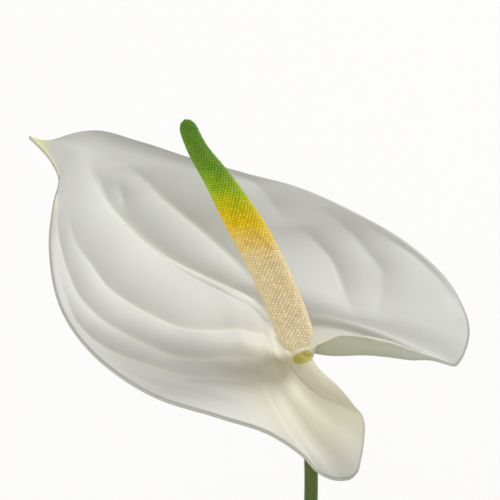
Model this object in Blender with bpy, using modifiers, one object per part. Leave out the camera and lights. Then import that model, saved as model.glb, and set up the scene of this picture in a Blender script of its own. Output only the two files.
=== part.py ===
"""A potted anthurium: one white flower on a tall stem over heart-shaped leaves in a plain clay pot.

Metres, +Z up. The origin is the middle of the pot's foot, on the surface that the pot stands on.
The flower's tip points to -X and +Y, and its front lobe hangs towards -Y.
"""

import math

import bmesh
import bpy
import numpy as np
from mathutils import Vector, noise

MM = 0.001
GAP = 0.0003
MERGE = 0.00001

# Pot: a turned clay pot with a thicker band at the rim, and drainage holes round a solid middle
POT_HEIGHT = 0.130
POT_RIM_RADIUS = 0.076
POT_FOOT_RADIUS = 0.050
POT_WALL = 0.0055
POT_FLOOR = 0.008
RIM_HEIGHT = 0.026
RIM_PROUD = 0.004
RIM_TAPER = 0.002
RIM_ROUND = 0.002
DRAIN_RADIUS = 0.005
DRAIN_CIRCLE = 0.027
DRAIN_COUNT = 3
DRAIN_SIDES = 12
POT_SIDES = 40

# Soil: fills the pot to a little under the rim, heaped round the stems
SOIL_LEVEL = 0.113
SOIL_HEAP = 0.007
SOIL_LUMP = 0.0022
SOIL_LUMP_SIZE = 0.016
SOIL_RINGS = 7
STEM_DEPTH = 0.018
HOLE_CLEAR = 0.0007
HOLE_SIDES = 10

# Flower: every point of it is worked out from the place where the spathe joins the stem
JOIN = Vector((0.0, 0.0, 0.430))
TIP_HEADING = math.radians(142.1)
TIP_RISE = math.radians(25.0)
SIDE_RISE = math.radians(7.8)
SPATHE_THICK = 0.0009
SPATHE_ALONG = 36
SPATHE_ACROSS = 26
STEM_TOP_RADIUS = 0.00185
STEM_FOOT_RADIUS = 0.0026
STEM_SIDES = 10
STEM_STEPS = 15
STEM_FOOT = (-0.0010, 0.0020)
# The stem's bow, from a little above the soil to just under the spathe
STEM_BOW = (
    (-0.0020, 0.0035, 0.210),
    (0.0004, 0.0035, 0.300),
    (0.0024, 0.0022, 0.370),
    (0.0018, 0.0014, 0.408),
    (-0.0015, 0.0022, 0.4284),
)

# The spathe's edge in millimetres, from the join to the tip: along, across and above the flat of
# the blade, then the angle in degrees by which a strip of the edge rolls up, and its width
RIGHT_EDGE = (
    (-2.2, 1.3, 0, 0, 2),
    (-0.9, 5.1, 1.2, 15, 4),
    (-1.7, 7.2, 3, 65, 6.5),
    (-3, 9.4, 5.4, 140, 11),
    (-6.7, 14.1, 6.5, 200, 13),
    (-11.4, 20.4, 5.6, 195, 11),
    (-17.2, 26.9, 3.2, 165, 7),
    (-23.3, 33.6, 0.2, 55, 4),
    (-26.9, 38.2, -1.6, 15, 4),
    (-26.2, 41.4, -1.8, 8, 6),
    (-23, 48.6, -2.2, 0, 8),
    (-19.5, 54, -2.5, 0, 8),
    (-12, 61, -3, 0, 8),
    (1.8, 67.7, -3, 0, 8),
    (18.8, 67.5, -2, 0, 8),
    (34.6, 61.2, 0, 0, 8),
    (49, 53.3, 1.5, 0, 8),
    (64.2, 42, 1.8, 8, 8),
    (77, 33, 1.8, 14, 9),
    (90.4, 25, 1.6, 16, 9),
    (101.3, 16.7, 1.2, 10, 6),
    (103.6, 11.5, 0.6, 0, 5),
    (104.3, 7.2, 0.3, 0, 3),
    (105, 3, 0, 0, 2),
    (106.5, -0.2, 0.1, 0, 2),
    (110, -2, 0.3, 0, 2),
)
LEFT_EDGE = (
    (-2.2, 1.3, 0, 0, 2),
    (-5.3, -0.5, 0.4, -5, 3),
    (-9.4, -1.6, 0.8, -5, 4),
    (-13.6, -2, 1.2, -6, 6),
    (-20.6, -2.9, 0.8, -8, 8),
    (-24.9, -3.2, -0.2, -8, 9),
    (-27.9, -5.2, -0.9, -10, 10),
    (-30.8, -8.6, -1.8, -12, 10),
    (-35.2, -14.9, -2.9, -15, 10),
    (-37.1, -18, -3.5, -15, 10),
    (-37.4, -20.9, -3.9, -12, 10),
    (-36.2, -23.3, -4.1, -12, 10),
    (-33.8, -26, -3.8, -10, 10),
    (-30.3, -27.4, -3.4, -8, 9),
    (-25.7, -27.5, -2.4, -5, 9),
    (-16.2, -29.8, -1.2, 0, 8),
    (-4, -40.7, 2, 5, 8),
    (10.1, -50.6, 3, 8, 8),
    (26.1, -53.3, 2.5, 12, 7),
    (45.5, -49.4, 2, 15, 6),
    (69.6, -32.9, 1.5, 15, 6),
    (84.8, -16.3, 1.2, 8, 5),
    (91.5, -7.8, 0.8, 3, 3),
    (100.3, -3.6, 0.5, 0, 2),
    (110, -2, 0.3, 0, 2),
)
# Close to the join the rows of the blade bow out by this share of their length, and the rolled
# strip is at most this share of the row
ROW_BOW = 0.40
ROW_BOW_END = 0.42
ROLL_SHARE = 0.9
ROW_GROWTH = 1.2
# A rolled strip is added up in this many steps, and rolls tighter towards its end
CURL_STEPS = 12
CURL_GROWTH = 1.2
# Over these shares of the way the puffs between the veins rise and fade, and they need this width
PUFF_RISE = 0.14
PUFF_END = 0.94
PUFF_FADE = 0.2
PUFF_FROM = 8
PUFF_FULL = 46
MIDRIB = (
    (-2.2, 1.3, 0),
    (1, 1, -1.4),
    (5, 1.4, -3.2),
    (12, 3.2, -3.4),
    (21, 4.3, -1.2),
    (32, 1.5, 0.4),
    (43, -1.7, 0.3),
    (54, -3.2, 0.2),
    (66, -3, 0.6),
    (77, -0.8, 1.0),
    (87, 3.2, 1.3),
    (94.5, 5, 1.1),
    (101.6, 2.9, 0.6),
    (105.5, 0.3, 0.2),
    (110, -2, 0.3),
)
# Sunken veins of each half: how high the blade puffs up before the vein, in millimetres, and then
# its course, as (share of the way from the join to the tip, share of the way out to the edge)
RIGHT_VEINS = (
    (1.8, (0, 0.12), (0.20, 0.15), (0.41, 0.23), (0.59, 0.29), (0.72, 0.35), (0.85, 0.45), (1, 0.50)),
    (1.6, (0, 0.24), (0.25, 0.31), (0.45, 0.44), (0.60, 0.52), (0.80, 0.62), (1, 0.70)),
    (1.8, (0, 0.38), (0.25, 0.44), (0.33, 0.51), (0.46, 0.63), (0.53, 0.69), (0.75, 0.82), (1, 0.90)),
    (2.0, (0, 0.50), (0.25, 0.57), (0.43, 0.78), (0.59, 0.94), (0.70, 0.99), (1, 1)),
    (1.5, (0, 0.80), (0.30, 0.88), (0.40, 0.93), (0.50, 0.96), (0.60, 0.99), (1, 1)),
)
LEFT_VEINS = (
    (3.0, (0, 0.10), (0.20, 0.16), (0.30, 0.29), (0.45, 0.47), (0.60, 0.50), (0.80, 0.58), (1, 0.60)),
    (2.2, (0, 0.20), (0.24, 0.31), (0.36, 0.57), (0.44, 0.68), (0.57, 0.78), (0.80, 0.82), (1, 0.85)),
    (1.5, (0, 0.40), (0.20, 0.45), (0.30, 0.60), (0.37, 0.73), (0.50, 0.85), (0.65, 0.99), (1, 1)),
    (1.0, (0, 0.75), (0.30, 0.85), (0.44, 0.91), (0.53, 0.99), (0.60, 1), (1, 1)),
)
EDGE_PUFF = 0.5

# Spadix: its middle line, sideways and up a slope that leans back, in millimetres
SPADIX_LINE = (
    (-1.0, 2.6),
    (-3.5, 10.3),
    (-7.6, 20.3),
    (-12.5, 30.3),
    (-18.2, 40.3),
    (-24.3, 50.3),
    (-29.2, 57.6),
    (-32.9, 65.9),
)
SPADIX_LEAN = math.radians(18.0)
SPADIX_FORWARD = 0.0010
SPADIX_RADIUS = 0.0050
SPADIX_TIP_RADIUS = 0.0025
SPADIX_SIDES = 20
SPADIX_RINGS = 40
SPADIX_BUMP = 0.00035
SPADIX_ROOT_SHARE = 0.08
SPADIX_TAPER_FROM = 0.45
SPADIX_END_SHARE = 0.05

# Leaves: half a heart outline, along and across, as shares of the leaf's length
LEAF_EDGE = (
    (0, 0),
    (-0.055, 0.045),
    (-0.14, 0.11),
    (-0.185, 0.19),
    (-0.16, 0.29),
    (-0.05, 0.37),
    (0.12, 0.395),
    (0.32, 0.355),
    (0.54, 0.26),
    (0.75, 0.15),
    (0.90, 0.065),
    (1.0, 0),
)
LEAF_VEINS = (
    (0.5, (0, 0.15), (0.5, 0.25), (1, 0.30)),
    (0.6, (0, 0.35), (0.5, 0.50), (1, 0.60)),
    (0.6, (0, 0.55), (0.5, 0.78), (1, 0.90)),
)
LEAF_THICK = 0.0008
LEAF_ALONG = 13
LEAF_ACROSS = 12
# A blade rises from its midrib, falls again towards its edge, and waves along the edge
LEAF_RISE = 0.10
LEAF_FALL = 0.9
LEAF_WAVE = 0.035
LEAF_WAVE_TURNS = 9.0
LEAF_EDGE_PUFF = 0.3
PETIOLE_RADIUS = 0.0021
PETIOLE_FOOT_RADIUS = 0.0029
PETIOLE_SIDES = 8
PETIOLE_STEPS = 12
KNEE_LENGTH = 0.016
KNEE_RADIUS = 0.0029
KNEE_SINK = 0.0006
KNEE_INSET = 0.004
# Heading in degrees, reach and height of the knee, length, droop of the tip, tilt and sag in degrees
LEAVES = (
    (250, 0.100, 0.192, 0.155, 28, 5, 30),
    (310, 0.098, 0.252, 0.162, 32, -6, 30),
    (10, 0.102, 0.196, 0.158, 30, 6, 32),
    (70, 0.096, 0.246, 0.158, 34, -5, 28),
    (130, 0.100, 0.188, 0.152, 26, 5, 32),
    (190, 0.102, 0.256, 0.165, 32, -5, 30),
    (280, 0.055, 0.306, 0.138, 28, -4, 26),
    (38, 0.058, 0.300, 0.132, 30, 5, 26),
    (158, 0.056, 0.310, 0.135, 26, 4, 28),
)
OUTER_LEAVES = 6
OUTER_RING = 0.019
INNER_RING = 0.011


def smooth_line(points, share):
    """Reads a smooth curve through the points at each share of its length."""
    p = np.array(points, float)
    steps = np.linalg.norm(np.diff(p[:, :3], axis=0), axis=1)
    t = np.concatenate(([0.0], np.cumsum(steps)))
    slope = np.gradient(p, t, axis=0)
    x = np.clip(share, 0.0, 1.0) * t[-1]
    i = np.clip(np.searchsorted(t, x, side="right") - 1, 0, len(t) - 2)
    h = (t[i + 1] - t[i])[..., None]
    s = (x - t[i])[..., None] / h
    start = (2 * s**3 - 3 * s**2 + 1) * p[i] + (s**3 - 2 * s**2 + s) * h * slope[i]
    end = (-2 * s**3 + 3 * s**2) * p[i + 1] + (s**3 - s**2) * h * slope[i + 1]
    return start + end


def ease(x):
    x = np.clip(x, 0.0, 1.0)
    return x * x * (3 - 2 * x)


def curl(roll, share):
    """How far along and how far up a strip of length one gets at this share of it, when it rolls
    up by this angle in all, ever tighter towards its end."""
    steps = (np.arange(CURL_STEPS) + 0.5) / CURL_STEPS
    turn = roll[..., None] * (share[..., None] * steps) ** CURL_GROWTH
    return share * np.cos(turn).mean(axis=-1), share * np.sin(turn).mean(axis=-1)


def rows_along(count, first, last):
    """Shares of the way from the join to the tip, closer together towards the join."""
    between = first + (last - first) * np.linspace(0, 1, count - 1) ** ROW_GROWTH
    return np.concatenate(([0.0], between, [1.0]))


def puffs(a, k, veins, edge_puff):
    """Height of the blade between its sunken veins, at share a along and k out to the edge."""
    height = np.zeros_like(k)
    inner = np.zeros_like(k)
    for puff, *course in veins + ((edge_puff, (0, 1), (1, 1)),):
        outer = np.interp(a, [along for along, _ in course], [out for _, out in course])
        share = np.clip((k - inner) / np.maximum(outer - inner, 1e-6), 0.0, 1.0)
        between = (k >= inner) & (k < outer)
        height = np.where(between, puff * np.sin(np.pi * share), height)
        inner = outer
    return height


def heart_blade(a, s, midrib, right_edge, left_edge):
    """Points of a heart-shaped blade: a runs from the join to the tip, and s from the left edge
    (-1) over the midrib (0) to the right edge (1). Close to the join each row bows round it. An
    edge gives along, across, above, the angle by which a strip of it rolls up, and its width."""
    side = np.where(s >= 0, 1.0, -1.0)
    edge = np.where(side[..., None] > 0, smooth_line(right_edge, a), smooth_line(left_edge, a))
    middle = smooth_line(midrib, a)
    roll = np.radians(edge[..., 3])
    longest = ROLL_SHARE * np.linalg.norm(edge[..., :3] - middle, axis=-1) + 1e-9
    strip = np.minimum(edge[..., 4], longest)
    level, risen = curl(roll, np.ones_like(roll))
    foot = edge[..., :3].copy()
    foot[..., 2] -= strip * risen
    chord = foot - middle
    bow = ROW_BOW * side * ease(1 - a / ROW_BOW_END)
    bent = middle + chord / 2
    bent[..., 0] += bow * chord[..., 1]
    bent[..., 1] -= bow * chord[..., 0]
    out = (foot - bent) / (np.linalg.norm(foot - bent, axis=-1)[..., None] + 1e-9)
    flat = foot + out * (strip - strip * level)[..., None]
    width = np.linalg.norm(flat - bent, axis=-1) + np.linalg.norm(bent - middle, axis=-1) + 1e-9
    share = np.abs(s)
    turned = np.maximum(strip - (1 - share) * width, 0.0)
    fold = (1 - strip / width)[..., None]
    held = np.minimum(share[..., None], fold)
    points = (1 - held) ** 2 * middle + 2 * held * (1 - held) * bent + held**2 * flat
    folded = (1 - fold) ** 2 * middle + 2 * fold * (1 - fold) * bent + fold**2 * flat
    points += (flat - out * strip[..., None] - folded) * (turned / strip)[..., None]
    level, risen = curl(roll, turned / strip)
    points += out * (strip * level)[..., None]
    points[..., 2] += strip * risen
    return points, width


def spathe_points(a, c):
    """The spathe's surface in metres, in its own frame, with the puffs between its veins."""
    points, width = heart_blade(a, c, MIDRIB, RIGHT_EDGE, LEFT_EDGE)
    k = np.abs(c)
    puff = np.where(c >= 0, puffs(a, k, RIGHT_VEINS, EDGE_PUFF), puffs(a, k, LEFT_VEINS, EDGE_PUFF))
    wide = np.clip((width - PUFF_FROM) / (PUFF_FULL - PUFF_FROM), 0, 1)
    points[..., 2] += puff * ease(a / PUFF_RISE) * ease((PUFF_END - a) / PUFF_FADE) * wide
    return points * MM


def blade_axes(heading, rise, side_rise):
    """Unit vectors along, across and above a blade whose tip has this heading and rise."""
    along = Vector((math.cos(rise) * math.cos(heading), math.cos(rise) * math.sin(heading), math.sin(rise)))
    level = Vector((math.sin(heading), -math.cos(heading), 0.0))
    up = level.cross(along)
    across = level * math.cos(side_rise) + up * math.sin(side_rise)
    above = up * math.cos(side_rise) - level * math.sin(side_rise)
    return np.array((along, across, above))


def material(name, colour, roughness):
    made = bpy.data.materials.new(name)
    made.use_nodes = True
    shader = made.node_tree.nodes["Principled BSDF"]
    shader.inputs["Base Color"].default_value = (*colour, 1.0)
    shader.inputs["Roughness"].default_value = roughness
    return made


def add_mesh(name, mesh, collection, finish):
    made = bpy.data.objects.new(name, mesh)
    made.data.materials.clear()
    made.data.materials.append(finish)
    collection.objects.link(made)
    return made


def grid_mesh(name, points, flip):
    """A sheet of triangles over a grid of points, with the points that meet at its ends merged."""
    rows, columns = points.shape[:2]
    bm = bmesh.new()
    verts = [bm.verts.new(p) for p in points.reshape(-1, 3)]
    for i in range(rows - 1):
        for j in range(columns - 1):
            corner = i * columns + j
            ring = (corner, corner + 1, corner + columns + 1, corner + columns)
            bm.faces.new([verts[v] for v in (reversed(ring) if flip else ring)])
    bmesh.ops.remove_doubles(bm, verts=bm.verts, dist=0.0001)
    bmesh.ops.triangulate(bm, faces=bm.faces, quad_method="SHORT_EDGE")
    mesh = bpy.data.meshes.new(name)
    bm.to_mesh(mesh)
    bm.free()
    return mesh


def solidify(made, thickness):
    shell = made.modifiers.new("thickness", "SOLIDIFY")
    shell.thickness = thickness
    shell.offset = -1.0
    shell.use_even_offset = False
    return shell


def turned(name, profile, sides, collection, finish):
    """A profile of (radius, height) pairs, outer side from top to bottom, turned about Z."""
    bm = bmesh.new()
    verts = [bm.verts.new((r, 0.0, z)) for r, z in profile]
    for first, second in zip(verts, verts[1:]):
        bm.edges.new((first, second))
    mesh = bpy.data.meshes.new(name)
    bm.to_mesh(mesh)
    bm.free()
    made = add_mesh(name, mesh, collection, finish)
    screw = made.modifiers.new("turn", "SCREW")
    screw.steps = sides
    screw.render_steps = sides
    screw.use_merge_vertices = True
    screw.merge_threshold = MERGE
    screw.use_normal_calculate = True
    return made


def tube(name, points, radii, sides, collection, finish):
    """A stem through the points, with a radius at each of them."""
    curve = bpy.data.curves.new(name, "CURVE")
    curve.dimensions = "3D"
    curve.bevel_depth = 1.0
    curve.bevel_resolution = sides // 2 - 2
    curve.use_fill_caps = True
    spline = curve.splines.new("POLY")
    spline.points.add(len(points) - 1)
    for point, place, radius in zip(spline.points, points, radii):
        point.co = (*place, 1.0)
        point.radius = radius
    made = bpy.data.objects.new(name, curve)
    collection.objects.link(made)
    bpy.context.view_layer.update()
    graph = bpy.context.evaluated_depsgraph_get()
    mesh = bpy.data.meshes.new_from_object(made.evaluated_get(graph))
    bpy.data.objects.remove(made)
    bpy.data.curves.remove(curve)
    bm = bmesh.new()
    bm.from_mesh(mesh)
    bmesh.ops.remove_doubles(bm, verts=bm.verts, dist=MERGE)
    bmesh.ops.recalc_face_normals(bm, faces=bm.faces)
    bm.to_mesh(mesh)
    bm.free()
    return add_mesh(name, mesh, collection, finish)


def boolean(made, operation, other):
    cut = made.modifiers.new(operation.lower(), "BOOLEAN")
    cut.operation = operation
    cut.solver = "EXACT"
    if isinstance(other, bpy.types.Collection):
        cut.operand_type = "COLLECTION"
        cut.collection = other
    else:
        cut.object = other
    return cut


def apply_modifiers(made):
    bpy.context.view_layer.update()
    graph = bpy.context.evaluated_depsgraph_get()
    mesh = bpy.data.meshes.new_from_object(made.evaluated_get(graph))
    made.modifiers.clear()
    made.data = mesh


def as_cutter(made, cutters):
    made.hide_render = True
    made.display_type = "WIRE"
    for home in list(made.users_collection):
        home.objects.unlink(made)
    cutters.objects.link(made)


def drill(name, place, radius, depth, sides, cutters):
    bpy.ops.mesh.primitive_cylinder_add(vertices=sides, radius=radius, depth=depth, location=place)
    made = bpy.context.object
    made.name = name
    as_cutter(made, cutters)
    return made


def inner_radius(height):
    """Radius of the pot's inner wall at this height."""
    foot = POT_FOOT_RADIUS - POT_WALL
    mouth = POT_RIM_RADIUS - RIM_PROUD - POT_WALL
    return foot + (mouth - foot) * (height - POT_FLOOR) / (POT_HEIGHT - POT_FLOOR)


def make_pot(parts, cutters, clay):
    band = POT_HEIGHT - RIM_HEIGHT
    profile = [
        (0.0, POT_FLOOR),
        (inner_radius(POT_FLOOR), POT_FLOOR),
        (inner_radius(POT_HEIGHT - RIM_ROUND), POT_HEIGHT - RIM_ROUND),
        (inner_radius(POT_HEIGHT) + RIM_ROUND, POT_HEIGHT),
        (POT_RIM_RADIUS - RIM_ROUND, POT_HEIGHT),
        (POT_RIM_RADIUS, POT_HEIGHT - RIM_ROUND),
        (POT_RIM_RADIUS - RIM_TAPER, band + RIM_ROUND),
        (POT_RIM_RADIUS - RIM_TAPER - RIM_ROUND, band),
        (inner_radius(band) + POT_WALL, band),
        (POT_FOOT_RADIUS, RIM_ROUND),
        (POT_FOOT_RADIUS - RIM_ROUND, 0.0),
        (0.0, 0.0),
    ]
    pot = turned("pot", profile, POT_SIDES, parts, clay)
    for k in range(DRAIN_COUNT):
        angle = 2 * math.pi * k / DRAIN_COUNT
        place = (DRAIN_CIRCLE * math.cos(angle), DRAIN_CIRCLE * math.sin(angle), POT_FLOOR / 2)
        name = "drain_drill_%d" % (k + 1)
        cutter = drill(name, place, DRAIN_RADIUS, 3 * POT_FLOOR, DRAIN_SIDES, cutters)
        boolean(pot, "DIFFERENCE", cutter)
    return pot


def make_soil(parts, cutters, earth, stems):
    """Fills the pot, with a blind hole for every stem: (x, y, radius)."""
    top = [(inner_radius(SOIL_LEVEL) - GAP) * k / SOIL_RINGS for k in range(SOIL_RINGS + 1)]
    profile = [(r, SOIL_LEVEL + SOIL_HEAP * (1 - (r / top[-1]) ** 2)) for r in top]
    floor = POT_FLOOR + GAP
    profile += [(inner_radius(floor) - GAP, floor), (0.0, floor)]
    soil = turned("soil", profile, POT_SIDES, parts, earth)
    apply_modifiers(soil)
    for vert in soil.data.vertices:
        r = math.hypot(vert.co.x, vert.co.y)
        if vert.co.z > SOIL_LEVEL - MERGE and r < top[-1] - GAP:
            vert.co.z += SOIL_LUMP * noise.noise(vert.co / SOIL_LUMP_SIZE)
    low = SOIL_LEVEL - STEM_DEPTH - GAP
    depth = 2 * (SOIL_HEAP + STEM_DEPTH)
    for k, (x, y, radius) in enumerate(stems):
        name = "stem_drill_%d" % (k + 1)
        place = (x, y, low + depth / 2)
        boolean(soil, "DIFFERENCE", drill(name, place, radius + HOLE_CLEAR, depth, HOLE_SIDES, cutters))
    return soil


def make_spathe(parts, white):
    rows = rows_along(SPATHE_ALONG, 0.04, 0.95)
    a, c = np.meshgrid(rows, np.linspace(-1, 1, SPATHE_ACROSS + 1), indexing="ij")
    points = np.array(JOIN) + spathe_points(a, c) @ blade_axes(TIP_HEADING, TIP_RISE, SIDE_RISE)
    spathe = add_mesh("spathe", grid_mesh("spathe", points, True), parts, white)
    solidify(spathe, SPATHE_THICK)
    return spathe


def make_spadix(parts, cream):
    """A tapering finger of small florets, raised as low knobs from its surface."""
    slope = Vector((0.0, math.sin(SPADIX_LEAN), math.cos(SPADIX_LEAN)))
    across = Vector((1.0, 0.0, 0.0))
    start = JOIN + across.cross(slope) * SPADIX_FORWARD
    shares = np.linspace(0, 1, SPADIX_RINGS + 1)
    line = smooth_line([(x, up, 0) for x, up in SPADIX_LINE], shares) * MM
    bm = bmesh.new()
    rings = []
    for j, share in enumerate(shares):
        here = start + across * line[j][0] + slope * line[j][1]
        ahead = line[min(j + 1, SPADIX_RINGS)] - line[max(j - 1, 0)]
        forward = (across * ahead[0] + slope * ahead[1]).normalized()
        side = forward.cross(slope.cross(across)).normalized()
        other = forward.cross(side)
        taper = float(ease((share - SPADIX_TAPER_FROM) / (1 - SPADIX_TAPER_FROM)))
        body = SPADIX_RADIUS + (SPADIX_TIP_RADIUS - SPADIX_RADIUS) * taper
        root = 0.5 + 0.5 * math.sqrt(1 - (1 - min(share / SPADIX_ROOT_SHARE, 1.0)) ** 2)
        end = math.sqrt(1 - max(0.0, 1 - (1 - share) / SPADIX_END_SHARE) ** 2)
        ring = []
        for i in range(SPADIX_SIDES):
            angle = 2 * math.pi * i / SPADIX_SIDES
            knob = SPADIX_BUMP if (i + j) % 2 else 0.0
            radius = (body * root + knob) * max(end, 0.12)
            ring.append(bm.verts.new(here + (side * math.cos(angle) + other * math.sin(angle)) * radius))
        rings.append(ring)
    for low, high in zip(rings, rings[1:]):
        for i in range(SPADIX_SIDES):
            nxt = (i + 1) % SPADIX_SIDES
            bm.faces.new((low[i], low[nxt], high[nxt], high[i]))
    bm.faces.new(rings[0])
    bm.faces.new(rings[-1])
    bmesh.ops.recalc_face_normals(bm, faces=bm.faces)
    bmesh.ops.triangulate(bm, faces=bm.faces)
    mesh = bpy.data.meshes.new("spadix")
    bm.to_mesh(mesh)
    bm.free()
    return add_mesh("spadix", mesh, parts, cream)


def make_flower_stem(parts, green):
    """The tall stem, from the soil to just under the spathe."""
    x, y = STEM_FOOT
    way = ((x, y, SOIL_LEVEL - STEM_DEPTH), (x, y, SOIL_LEVEL + 0.010), *STEM_BOW)
    points = smooth_line(way, np.linspace(0, 1, STEM_STEPS))
    radii = np.linspace(STEM_FOOT_RADIUS, STEM_TOP_RADIUS, STEM_STEPS)
    return tube("flower_stem", points, radii, STEM_SIDES, parts, green)


def leaf_foot(number):
    """Where a leaf's stalk enters the soil."""
    heading = math.radians(LEAVES[number][0])
    ring = OUTER_RING if number < OUTER_LEAVES else INNER_RING
    return ring * math.cos(heading), ring * math.sin(heading)


def leaf_surface(number, a, c):
    """A leaf's surface from its knee, in its own frame, drooping towards its tip."""
    length, sag = LEAVES[number][3], math.radians(LEAVES[number][6])
    edge = [(along * length / MM, out * length / MM, 0, 0, 2) for along, out in LEAF_EDGE]
    other = [(along, -out, up, roll, strip) for along, out, up, roll, strip in edge]
    ribs = [(along * length / MM, 0, 0) for along in (0.0, 0.25, 0.5, 0.75, 1.0)]
    points = heart_blade(a, c, ribs, edge, other)[0] * MM
    k = np.abs(c)
    fade = ease(a / PUFF_RISE) * ease((1 - a) / PUFF_FADE)
    out = np.abs(points[..., 1])
    lift = puffs(a, k, LEAF_VEINS, LEAF_EDGE_PUFF) * MM * fade
    lift += LEAF_RISE * out - LEAF_FALL * out**2 / length
    lift += LEAF_WAVE * length * k**3 * np.sin(LEAF_WAVE_TURNS * a + number) * fade
    run = length / sag
    bend = points[..., 0] / run
    along = run * np.sin(bend) + lift * np.sin(bend)
    above = lift * np.cos(bend) - run * (1 - np.cos(bend))
    return np.stack((along, points[..., 1], above), axis=-1)


def make_petiole(number, knee, along, above, parts, green):
    """A leaf's stalk: up from the soil, out to the knee, and a little way into the blade."""
    height = LEAVES[number][2] - SOIL_LEVEL
    x, y = leaf_foot(number)
    seat = knee + along * KNEE_INSET
    entry = (Vector((0.0, 0.0, -1.0)) - above * 1.2).normalized()
    out = Vector((x * 1.6, y * 1.6, 0.0)).lerp(Vector((knee.x, knee.y, 0.0)), 0.42)
    way = (
        (x, y, SOIL_LEVEL - STEM_DEPTH),
        (x * 1.15, y * 1.15, SOIL_LEVEL + 0.25 * height),
        (out.x, out.y, SOIL_LEVEL + 0.68 * height),
        tuple(seat + entry * KNEE_LENGTH * 1.4),
        tuple(seat + above * KNEE_SINK),
    )
    shares = np.linspace(0, 1, PETIOLE_STEPS)
    route = smooth_line(way, shares)
    total = np.sum(np.linalg.norm(np.diff(route, axis=0), axis=1))
    thick = PETIOLE_RADIUS + (PETIOLE_FOOT_RADIUS - PETIOLE_RADIUS) * (1 - shares) ** 3
    swell = ease(1 - np.abs((1 - shares) * total - KNEE_LENGTH / 2) / KNEE_LENGTH)
    radii = thick + (KNEE_RADIUS - PETIOLE_RADIUS) * swell
    return tube("petiole_%d" % (number + 1), route, radii, PETIOLE_SIDES, parts, green)


def make_leaf(number, parts, green):
    """One leaf: its heart-shaped blade, joined to a stalk that has a thicker knee at the top."""
    heading, reach, height, length, droop, tilt, sag = LEAVES[number]
    turn = math.radians(heading)
    axes = blade_axes(turn, math.radians(-droop), math.radians(tilt))
    knee = Vector((reach * math.cos(turn), reach * math.sin(turn), height))
    rows = rows_along(LEAF_ALONG, 0.06, 0.96)
    a, c = np.meshgrid(rows, np.linspace(-1, 1, LEAF_ACROSS + 1), indexing="ij")
    name = "leaf_%d" % (number + 1)
    points = np.array(knee) + leaf_surface(number, a, c) @ axes
    blade = add_mesh(name, grid_mesh(name, points, True), parts, green)
    solidify(blade, LEAF_THICK)
    apply_modifiers(blade)
    stalk = make_petiole(number, knee, Vector(axes[0]), Vector(axes[2]), parts, green)
    boolean(blade, "UNION", stalk)
    apply_modifiers(blade)
    bpy.data.objects.remove(stalk)
    return blade


def main():
    for old in list(bpy.data.objects):
        bpy.data.objects.remove(old)
    parts = bpy.data.collections.new("potted_anthurium")
    cutters = bpy.data.collections.new("cutters")
    bpy.context.scene.collection.children.link(parts)
    bpy.context.scene.collection.children.link(cutters)

    clay = material("fired_clay", (0.48, 0.20, 0.11), 0.85)
    earth = material("bark_mix", (0.045, 0.028, 0.018), 0.95)
    white = material("white_spathe", (0.78, 0.79, 0.74), 0.40)
    cream = material("cream_spadix", (0.75, 0.55, 0.30), 0.55)
    stem_green = material("stem_green", (0.09, 0.16, 0.02), 0.45)
    leaf_green = material("leaf_green", (0.03, 0.12, 0.02), 0.35)

    stems = [(*STEM_FOOT, STEM_FOOT_RADIUS)]
    stems += [(*leaf_foot(number), PETIOLE_FOOT_RADIUS) for number in range(len(LEAVES))]
    make_pot(parts, cutters, clay)
    make_soil(parts, cutters, earth, stems)
    make_flower_stem(parts, stem_green)
    make_spathe(parts, white)
    make_spadix(parts, cream)
    for number in range(len(LEAVES)):
        make_leaf(number, parts, leaf_green)


main()
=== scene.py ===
import math

import bmesh
import bpy
import numpy as np
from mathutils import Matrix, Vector, noise


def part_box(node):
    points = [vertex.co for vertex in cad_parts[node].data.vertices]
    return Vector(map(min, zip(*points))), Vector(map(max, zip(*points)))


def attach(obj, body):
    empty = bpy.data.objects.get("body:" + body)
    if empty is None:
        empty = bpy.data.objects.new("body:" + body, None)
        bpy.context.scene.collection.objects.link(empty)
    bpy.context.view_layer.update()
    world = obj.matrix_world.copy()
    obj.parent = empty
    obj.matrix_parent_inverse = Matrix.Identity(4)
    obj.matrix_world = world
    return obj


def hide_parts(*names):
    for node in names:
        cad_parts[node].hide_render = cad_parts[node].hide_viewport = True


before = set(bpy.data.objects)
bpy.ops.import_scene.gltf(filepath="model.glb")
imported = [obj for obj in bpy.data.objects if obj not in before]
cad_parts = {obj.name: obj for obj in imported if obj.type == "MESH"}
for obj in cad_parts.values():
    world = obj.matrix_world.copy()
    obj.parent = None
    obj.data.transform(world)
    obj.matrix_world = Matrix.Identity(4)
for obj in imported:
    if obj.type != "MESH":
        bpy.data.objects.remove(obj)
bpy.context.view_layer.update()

# Pot. A plain flower pot of terracotta, pressed in a mould and turned smooth while soft, then fired.
# It has a thicker band round its mouth and three drain holes in its floor, and everything stands in it.
MM = 0.001
MERGE = 0.00001
_, POT_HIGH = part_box("pot")
POT_HEIGHT = POT_HIGH.z
POT_RIM_RADIUS = POT_HIGH.x
POT_FOOT_RADIUS = 0.050
POT_WALL = 0.0055
POT_FLOOR = 0.008
RIM_HEIGHT = 0.026
RIM_PROUD = 0.004
RIM_TAPER = 0.002
CORNER_RADIUS = 0.0024
CORNER_STEPS = 6
TURNING_STEP = 0.0012
TURNING_DEPTH = 0.00012
TURNING_WIDTH = 0.0045
DRAIN_RADIUS = 0.005
DRAIN_CIRCLE = 0.027
DRAIN_COUNT = 3
POT_SIDES = 144


def linear(code):
    """A linear colour with alpha from an sRGB hex code."""
    shares = [int(code[k:k + 2], 16) / 255 for k in (1, 3, 5)]
    return (*(c / 12.92 if c <= 0.04045 else ((c + 0.055) / 1.055) ** 2.4 for c in shares), 1.0)


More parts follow.
